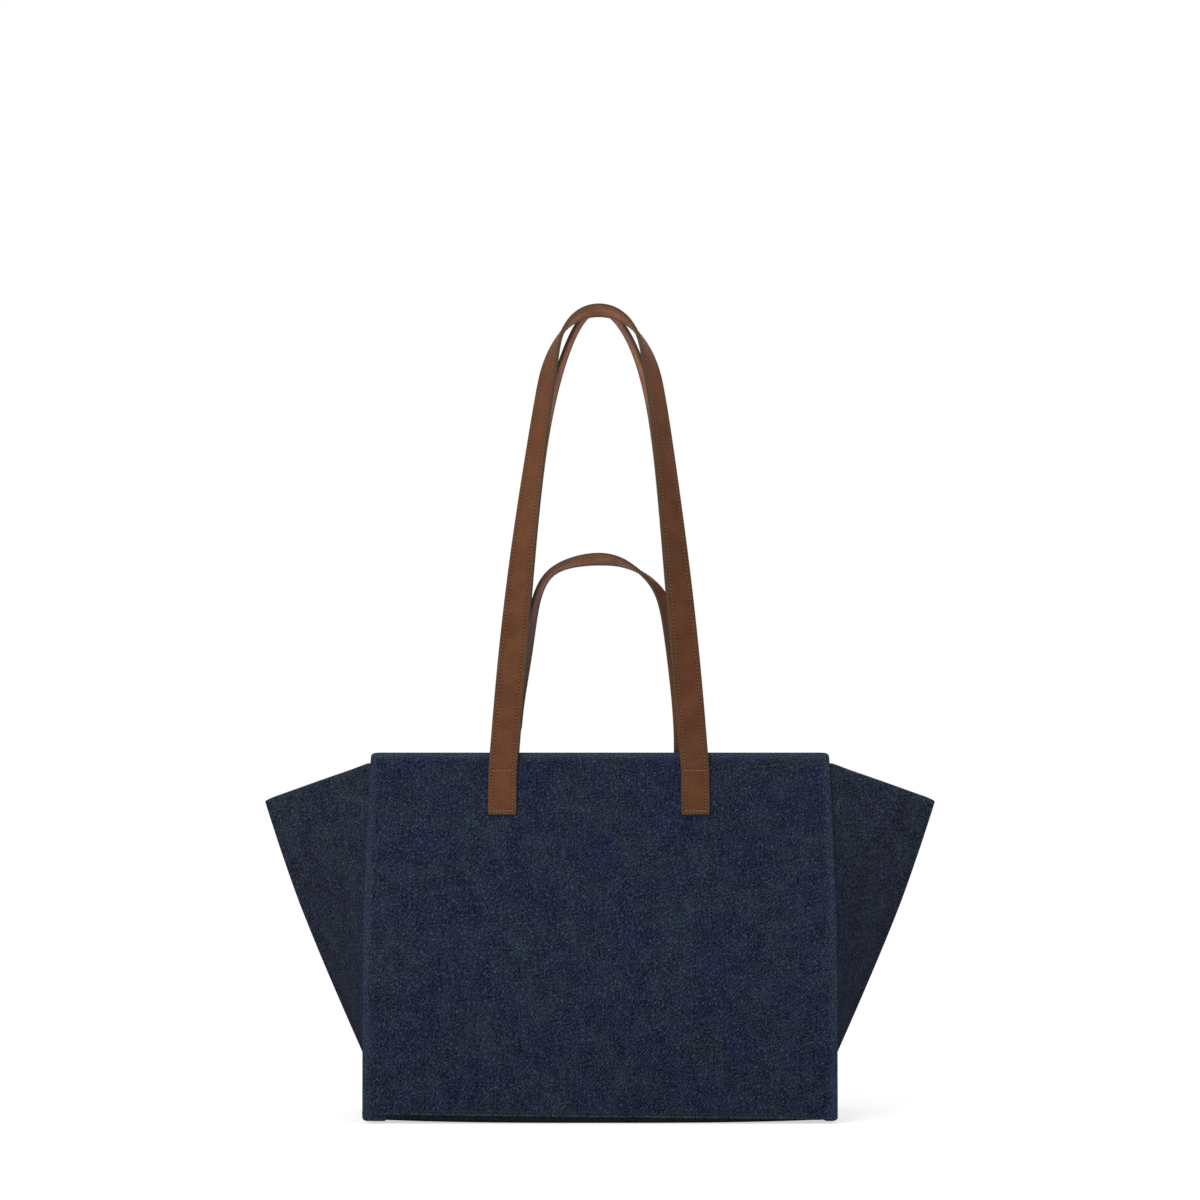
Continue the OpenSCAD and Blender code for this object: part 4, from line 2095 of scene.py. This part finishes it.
@dataclass(frozen=True)
class ArchedPath:
    """The middle line of a strap that stands on its two stitch rows, in metres.

    The spread is half the distance between the feet, and the rise is the height of the
    top above the row. A leg loses a share of the spread evenly on its way up, leg_lean,
    and another faster and faster, leg_curve. The feet, the legs above them and the top
    are foot_y, leg_y and top_y from the middle. Turns are in degrees: leg_twist grows
    along a leg, top_twist follows it near the top, and left_twist is the left leg's own
    near its foot. The arch sways to the right, and its left leg bows inwards. A higher
    power keeps the legs apart further up, a bend nearer to the feet, and a twist, a
    sway or a bow nearer to the top. Up to turn_share of the rise, the points are evenly
    high.
    """

    spread: float
    rise: float
    squareness: float
    leg_lean: float
    leg_curve: float
    foot_y: float
    leg_y: float
    top_y: float
    bend: float
    leg_twist: float
    twist_power: float
    top_twist: float
    top_from: float
    sway: float = 0.0
    sway_power: float = 3.5
    left_twist: float = 0.0
    left_power: float = 1.1
    left_from: Span = (0.02, 0.2)
    left_bow: float = 0.0
    bow_power: float = 1.2
    steps: int = 110
    turn_share: float = 0.75

    def left_leg(self, foot_z: float) -> Array:
        """The left half of the strap's middle line.

        Args:
            foot_z: Height of its foot.

        Returns:
            Its points from the stitch row to the top.
        """
        q = np.linspace(0, 1, self.steps)
        turn_angle = math.asin(self.turn_share ** (self.squareness / 2))
        swing = turn_angle + (math.pi / 2 - turn_angle) * (2 * q - 1)
        v = np.where(
            q < 0.5,
            2 * q * self.turn_share,
            np.maximum(np.sin(swing), 0) ** (2 / self.squareness),
        )
        taper = 1 - self.leg_lean * v - self.leg_curve * v * v
        x = -self.spread * taper * np.sqrt(np.maximum(0, 1 - v**self.squareness))
        y = (
            self.top_y
            + (self.leg_y - self.top_y) * (1 - v)
            + (self.foot_y - self.leg_y) * (1 - v) ** self.bend
        )
        return np.stack([x, y, foot_z + self.rise * v], -1)

    def drift(self, height: Array, left: Array) -> Array:
        """How far the strap leaves the even arch.

        Args:
            height: Shares of the rise.
            left: Where the left leg is, which may bow inwards.

        Returns:
            The way to the right, in metres.
        """
        swing = self.sway * np.sin(math.pi * height**self.sway_power)
        bow = self.left_bow * left * np.sin(math.pi * height**self.bow_power) ** 2
        return swing + bow

    def twist(self, done: Array, left: Array) -> Array:
        """Turn of the strap about its line.

        Args:
            done: Shares of the leg, from the foot to the top.
            left: Where the left leg is, which may turn early.

        Returns:
            The turns in radians.
        """
        leg = self.leg_twist * np.sin(math.pi / 2 * done) ** self.twist_power
        top = self.top_twist * smooth(done, self.top_from, 1)
        fade = np.cos(math.pi / 2 * done) ** self.left_power
        early = smooth(done, *self.left_from) * fade
        return np.radians(leg + top + self.left_twist * early * left)


@dataclass
class Strap:
    """One length of doubled leather, sewn to the bag at both ends."""

    shape: BagShape
    finishes: Finishes
    stitches: StitchTree
    handle: Handle
    path: ArchedPath
    side: Side
    tab_face: float
    tab: float = 31.0 * MM
    sewn_points: int = 16
    sewn_end: float = 0.6 * MM
    sewn_gap: float = 0.3 * MM
    settle: float = 9 * MM
    row_gap: float = 0.15 * MM
    shift: float = -0.8 * MM
    width: float = 20.0 * MM
    outer_ply: float = 1.4 * MM
    inner_ply: float = 1.2 * MM
    seam_inset: float = 3.0 * MM
    stitch_pitch: float = 2.6 * MM
    edge_slant: float = 9.0
    edge_sink: Span = (0.18 * MM, 0.14 * MM)
    box_count: int = 6
    box_inset: float = 0.8 * MM
    box_lift: float = 0.06 * MM
    box_rows: Span = (0.75 * MM, 2.6 * MM)
    box_stitch: float = 1.9 * MM
    box_thread: float = 0.8 * MM
    paint_width: Span = (0.75 * MM, 0.3 * MM)
    tip_paint: Span = (0.2 * MM, 0.7 * MM)
    tip_round: float = 1.2 * MM
    tip_narrow: float = 0.05
    bend_below: float = 1 * MM
    bend_above: float = 12 * MM
    sharp_angle: float = 60

    def __post_init__(self) -> None:
        """Works out the strap's line and how it turns."""
        self.thickness = self.outer_ply + self.inner_ply
        self.flipped = self.handle is Handle.REAR_LONG
        row = self.shape.stitch_row
        leg = self.path.left_leg(row + self.row_gap)
        if self.flipped:
            leg = leg * (1, -1, 1)
        half = np.concatenate([self._sewn_line(leg[0]), leg])
        line = np.concatenate([half, half[-2::-1] * (-1, 1, 1)])
        height = np.clip((line[:, 2] - row) / self.path.rise, 0, 1)
        middle = len(half) - 1
        left = np.arange(len(line)) < middle
        line[:, 0] += self.shift + self.path.drift(height, left)
        self.line = line
        steps = np.linalg.norm(np.diff(line, axis=0), axis=1)
        self.run = np.concatenate([[0], np.cumsum(steps)])
        self.free_from = foot = float(self.run[self.sewn_points])
        from_end = np.minimum(self.run, self.run[-1] - self.run)
        done = np.clip((from_end - foot) / (self.run[middle] - foot), 0, 1)
        turn = self.path.twist(done, left) * (-1 if self.flipped else 1)
        tangent = unit(np.gradient(line, self.run, axis=0))
        level = unit(np.cross((0, 1, 0), tangent))
        forward = np.cross(level, tangent)
        self.across = np.cos(turn)[:, None] * level + np.sin(turn)[:, None] * forward
        self.out = unit(np.cross(self.across, tangent))
        if self.flipped:
            self.out = -self.out

    @property
    def tab_sign(self) -> int:
        """Which way along Y the sewn ends stand off what they are sewn to."""
        return -1 if self.handle is Handle.SHORT else self.side.value

    def _sewn_line(self, foot: Array) -> Array:
        """The middle line of the left sewn end.

        Args:
            foot: The first point of the free leg.

        Returns:
            Its points, from the lower end to just below the stitch row.
        """
        row = self.shape.stitch_row
        z = row - np.linspace(self.tab, self.sewn_end, self.sewn_points)
        lifted = self.tab_sign * self.sewn_gap * smooth(z, row - self.settle, row)
        y = np.sign(foot[1]) * (self.shape.face(z) + self.tab_face) + lifted
        return np.stack([np.full(len(z), foot[0]), y, z], -1)

    def build(self) -> list[Object]:
        """Makes both plies and the threads.

        Returns:
            The pieces.
        """
        node, tabs = self.handle.node, self.handle.tabs
        outer = self._ply("outer", self._outer_section(), self.finishes.leather)
        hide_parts(node, f"{tabs}_tab_left", f"{tabs}_tab_right")
        short = self.handle is Handle.SHORT
        # The short strap's lining has painted shade on its left leg.
        back = self.finishes.short_back_shaded if short else self.finishes.leather_back
        inner = self._ply("lining", self._inner_section(), back)
        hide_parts(f"{node}_lining")
        edge = self._edge_thread()
        box = self._box_thread(f"{tabs}_tab_threads")
        for piece in (outer, inner, edge):
            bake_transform(piece)
        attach(box, self.side.body)
        return [outer, inner, edge, box]

    def _outer_section(self) -> list[Span]:
        """Half of the outer ply's section.

        Returns:
            Places across and out, from its middle round its face to its edge.
        """
        top, low = self.thickness / 2, self.thickness / 2 - self.outer_ply
        edge, seam = self.width / 2, self.width / 2 - self.seam_inset
        return [
            (0.0, top + 0.12 * MM),
            (0.35 * edge, top + 0.08 * MM),
            (seam - 1.7 * MM, top),
            (seam - 0.8 * MM, top - 0.06 * MM),
            (seam - 0.3 * MM, top - 0.22 * MM),
            (seam + 0.3 * MM, top - 0.22 * MM),
            (seam + 0.8 * MM, top - 0.06 * MM),
            (edge - 0.9 * MM, top - 0.04 * MM),
            (edge - 0.35 * MM, top - 0.18 * MM),
            (edge - 0.05 * MM, top - 0.5 * MM),
            (edge, top - 0.9 * MM),
            (edge - 0.06 * MM, low),
        ]

    def _inner_section(self) -> list[Span]:
        """Half of the lining ply's section.

        Returns:
            Places across and out, from its middle round its face to its edge.
        """
        low, top = -self.thickness / 2, -self.thickness / 2 + self.inner_ply
        edge, seam = self.width / 2, self.width / 2 - self.seam_inset
        return [
            (0.0, low),
            (seam - 0.9 * MM, low),
            (seam - 0.3 * MM, low + 0.16 * MM),
            (seam + 0.3 * MM, low + 0.16 * MM),
            (seam + 0.9 * MM, low),
            (edge - 0.8 * MM, low + 0.04 * MM),
            (edge - 0.25 * MM, low + 0.2 * MM),
            (edge, low + 0.6 * MM),
            (edge - 0.06 * MM, top),
        ]

    def _name(self, part: str) -> str:
        """The name of one of the strap's pieces."""
        return f"{self.handle.value}_strap_{part}"

    def _ply(self, part: str, section: list[Span], material: Material) -> Object:
        """Sweeps a section along the strap's line.

        Args:
            part: The piece's name after the strap's.
            section: Half of its section, from the middle to the edge.
            material: Its finish.

        Returns:
            The ply.
        """
        across = np.array([u for u, _ in section] + [-u for u, _ in section[:0:-1]])
        height = np.array([h for _, h in section] + [h for _, h in section[:0:-1]])
        from_end = np.minimum(self.run, self.run[-1] - self.run)
        round_end = 1 - np.sqrt(np.clip(from_end / self.tip_round, 0, 1))
        narrow = 1 - self.tip_narrow * round_end
        reach = self.across[:, None] * (across[None, :] * narrow[:, None])[..., None]
        points = self.line[:, None] + reach + self.out[:, None] * height[None, :, None]
        fitted = self.run * (self.stitch_count() * self.stitch_pitch / self.run[-1])
        flat = np.stack(np.broadcast_arrays(across[None, :], fitted[:, None]), -1)
        inner, outer = (self.width / 2 - inset for inset in self.paint_width)
        edge = smooth(np.abs(across), inner, outer)
        tip = 1 - smooth(from_end, *self.tip_paint)
        painted = np.maximum(edge[None, :], tip[:, None])
        return new_mesh(
            self._name(part), points.reshape(-1, 3), self._ply_faces(len(across)),
            flat.reshape(-1, 2), material, {PAINTED: painted.reshape(-1)},
            sharp_angle=self.sharp_angle,
        )

    def _ply_faces(self, count: int) -> list[list[int]]:
        """Faces of a closed tube along the strap's line.

        Args:
            count: Number of points round its section.

        Returns:
            Lists of corners.
        """
        rings = len(self.line)
        faces = []
        for ring in range(rings - 1):
            near, far = ring * count, (ring + 1) * count
            for k in range(count):
                n = (k + 1) % count
                faces.append([near + k, near + n, far + n, far + k])
        faces.append(list(range(count))[::-1])
        faces.append([(rings - 1) * count + k for k in range(count)])
        return [face[::-1] for face in faces] if self.flipped else faces

    def stitch_count(self) -> int:
        """The number of stitches that fit along the strap."""
        return round(self.run[-1] / self.stitch_pitch)

    def _at(self, run: Array) -> tuple[Array, Array, Array]:
        """Looks up places along the strap.

        Args:
            run: Their distances from the strap's first end.

        Returns:
            The middles, and the directions across and out.
        """
        return (
            picked(run, self.run, self.line),
            picked(run, self.run, self.across),
            picked(run, self.run, self.out),
        )

    def _edge_thread(self) -> Object:
        """The two stitch rows along the strap, on both of its faces.

        Returns:
            The piece.
        """
        seam = self.width / 2 - self.seam_inset
        count = self.stitch_count()
        line, across, out = self._at(np.arange(1, count) * self.run[-1] / count)
        front_sink, back_sink = self.edge_sink
        faces = (
            (self.thickness / 2 - front_sink, 1), (-self.thickness / 2 + back_sink, -1)
        )
        lines = [
            (line + across * sign * seam + out * height, out * facing)
            for sign in (-1, 1)
            for height, facing in faces
        ]
        piece = self.stitches.lay(
            self._name("edge_thread"), lines, self.finishes.edge_thread,
            slant=self.edge_slant,
        )
        return piece

    def _box_thread(self, node: str) -> Object:
        """Makes the level stitch rows that close the box on each sewn end.

        Args:
            node: The node that they replace.

        Returns:
            The piece.
        """
        reach = self.width / 2 - self.seam_inset - self.box_inset
        height = self.thickness / 2 + self.box_lift
        share = np.linspace(-1, 1, self.box_count)[:, None]
        below_row, from_end = self.box_rows
        lines = []
        for place in (self.free_from - below_row, from_end):
            for at in (place, self.run[-1] - place):
                middle, across, out = self._at(np.full(self.box_count, at))
                lines.append((middle + across * share * reach + out * height, out))
        piece = self.stitches.lay(
            self._name("box_thread"), lines, self.finishes.box_thread,
            length=self.box_stitch, width=self.box_thread, slant=0.0,
        )
        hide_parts(node)
        return piece


# Studio


@dataclass(frozen=True)
class Lamp:
    """A soft square lamp that looks at the middle of the bag."""

    name: str
    place: tuple[float, float, float]
    size: float
    power: float
    aim_height: float = 0.25

    def build(self) -> None:
        """Puts up the lamp."""
        data = bpy.data.lights.new(self.name, "AREA")
        data.size = self.size
        data.energy = self.power
        lamp = in_scene(self.name, data)
        lamp.location = self.place
        aim = Vector((0, 0, self.aim_height)) - lamp.location
        lamp.rotation_euler = aim.to_track_quat("-Z", "Y").to_euler()


@dataclass(frozen=True)
class Studio:
    """White floor and backdrop, soft lamps, and the camera of the photograph."""

    distance: float = 3.2
    eye_height: float = 0.2518
    aim_height: float = 0.3632
    lens: float = 135.7
    sensor: float = 36.0
    sight: float = 50.0
    floor_half: float = 6.0
    floor_grey: float = 0.72
    floor_glow: float = 0.62
    fade: Span = (0.30, 0.75)
    world_light: float = 0.38
    lamps: tuple[Lamp, ...] = (
        Lamp("key", place=(-0.8, -1.6, 1.05), size=1.2, power=21.0),
        Lamp("fill", place=(1.8, -1.0, 0.7), size=1.4, power=8.0),
        Lamp("back", place=(0.3, 1.8, 1.9), size=1.6, power=12.0),
    )

    def build(self) -> None:
        """Makes the camera, the floor, the world and the lamps."""
        bpy.context.scene.view_settings.view_transform = "Standard"
        self._camera()
        self._floor()
        self._world()
        for lamp in self.lamps:
            lamp.build()

    def _camera(self) -> None:
        """Sets the camera in front of the bag, low down and tilted up a little."""
        data = bpy.data.cameras.new("photo_camera")
        data.lens = self.lens
        data.sensor_width = self.sensor
        data.clip_end = self.sight
        camera = in_scene("photo_camera", data)
        camera.location = (0, -self.distance, self.eye_height)
        aim = Vector((0, 0, self.aim_height)) - camera.location
        camera.rotation_euler = aim.to_track_quat("-Z", "Y").to_euler()
        bpy.context.scene.camera = camera

    def _paper(self, name: str) -> Material:
        """Matt white that glows for the camera, mirrors and glass, fully so far away.

        Args:
            name: The material's name.

        Returns:
            The material.
        """
        art = Shading(name)
        away = art.node(
            "ShaderNodeVectorMath", {0: art.object_place()}, "Value", operation="LENGTH"
        ).eased(*self.fade)
        seen = art.seen_rays()
        grey = (self.floor_grey, self.floor_grey, self.floor_grey)
        matt = art.node("ShaderNodeBsdfDiffuse", {"Color": grey})
        bright = art.node(
            "ShaderNodeEmission", {"Color": WHITE, "Strength": self.floor_glow}
        )
        near = art.node("ShaderNodeAddShader", {0: matt, 1: bright})
        plain = art.node("ShaderNodeEmission", {"Color": WHITE, "Strength": 1.0})
        both = art.node("ShaderNodeMixShader", {0: away, 1: near, 2: plain})
        out = art.node("ShaderNodeMixShader", {0: seen, 1: matt, 2: both})
        art.node("ShaderNodeOutputMaterial", {"Surface": out})
        return art.material

    def _floor(self) -> None:
        """Lays a pale level floor."""
        half = self.floor_half
        mesh = bpy.data.meshes.new("floor")
        mesh.from_pydata(
            [(-half, -half, 0), (half, -half, 0), (half, half, 0), (-half, half, 0)],
            [],
            [(0, 1, 2, 3)],
        )
        mesh.materials.append(self._paper("floor_paper"))
        floor = in_scene("floor", mesh)

    def _world(self) -> None:
        """Sets even light from all round, seen as white."""
        world = bpy.data.worlds.new("studio")
        bpy.context.scene.world = world
        world.use_nodes = True
        graph = Graph(world.node_tree)
        seen = graph.seen_rays()
        dim = graph.node(
            "ShaderNodeBackground", {"Color": WHITE, "Strength": self.world_light}
        )
        white = graph.node("ShaderNodeBackground", {"Color": WHITE, "Strength": 1.0})
        mixed = graph.node("ShaderNodeMixShader", {0: seen, 1: dim, 2: white})
        graph.node("ShaderNodeOutputWorld", {"Surface": mixed})


def dress_hidden_nodes(nodes: dict[str, Object], finishes: Finishes) -> None:
    """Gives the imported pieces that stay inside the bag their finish.

    Args:
        nodes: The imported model's nodes by name.
        finishes: The bag's materials.
    """
    chosen = {
        "front_handle_backing": finishes.board,
        "rear_handle_backing": finishes.board,
    }
    chosen |= {name: finishes.steel for name in nodes if name.endswith("_magnet")}
    for name, material in chosen.items():
        for slot in nodes[name].material_slots:
            slot.material = material
        LOG.info("dressed %s", name)


def straps(shape: BagShape, finishes: Finishes, stitches: StitchTree) -> list[Strap]:
    """The three straps with their lines.

    Args:
        shape: The bag's measures.
        finishes: The bag's materials.
        stitches: Lays their threads.

    Returns:
        The front long, rear long and short strap.
    """
    thickness = Strap.outer_ply + Strap.inner_ply
    at_row = float(shape.face(np.array(shape.stitch_row)))
    outside = at_row + thickness / 2 + Strap.sewn_gap
    inside = at_row - shape.wall - thickness / 2 - Strap.sewn_gap
    front = ArchedPath(
        spread=67.5 * MM, rise=325 * MM, squareness=20, leg_lean=0.34, leg_curve=0.2,
        foot_y=-outside, leg_y=-outside + 6.3 * MM, top_y=-11 * MM, bend=26,
        leg_twist=60, twist_power=1.5, top_twist=48, top_from=0.8, sway=1 * MM,
    )
    rear = replace(
        front, rise=328 * MM, squareness=9, leg_curve=0.26, leg_twist=84, top_twist=0,
        sway=1.4 * MM, sway_power=5,
    )
    short = ArchedPath(
        spread=62.8 * MM, rise=149.5 * MM, squareness=14, leg_lean=-0.095,
        leg_curve=0.5, foot_y=inside, leg_y=3.2 * MM, top_y=3.2 * MM, bend=14,
        leg_twist=95, twist_power=2.82, top_twist=14, top_from=0.78,
        sway=-2.3 * MM, sway_power=14.7,
        left_twist=139, left_power=1.83, left_bow=4.8 * MM,
    )
    common = (shape, finishes, stitches)
    under = -shape.wall - thickness / 2
    return [
        Strap(*common, Handle.FRONT_LONG, front, Side.FRONT, tab_face=thickness / 2),
        Strap(*common, Handle.REAR_LONG, rear, Side.REAR, tab_face=thickness / 2),
        Strap(*common, Handle.SHORT, short, Side.REAR, tab_face=under),
    ]


def main() -> None:
    """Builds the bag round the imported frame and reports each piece."""
    logging.basicConfig(level=logging.INFO, format="%(name)s: %(message)s")
    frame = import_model()
    Studio().build()
    shape = BagShape.from_frame()
    finishes = Finishes()
    stitches = StitchTree()
    made = Base(shape, finishes, WeltTree()).build()
    for side in Side:
        made += SideWall(shape, finishes, stitches, side).build()
    for hand in Hand:
        for side in Side:
            made += HalfWing(shape, finishes, hand, side).build()
    for strap in straps(shape, finishes, stitches):
        made += strap.build()
    for piece in made:
        LOG.info("made %s with %d faces", piece.name, len(piece.data.polygons))
    dress_hidden_nodes(frame["nodes"], finishes)


if __name__ == "__main__":
    main()
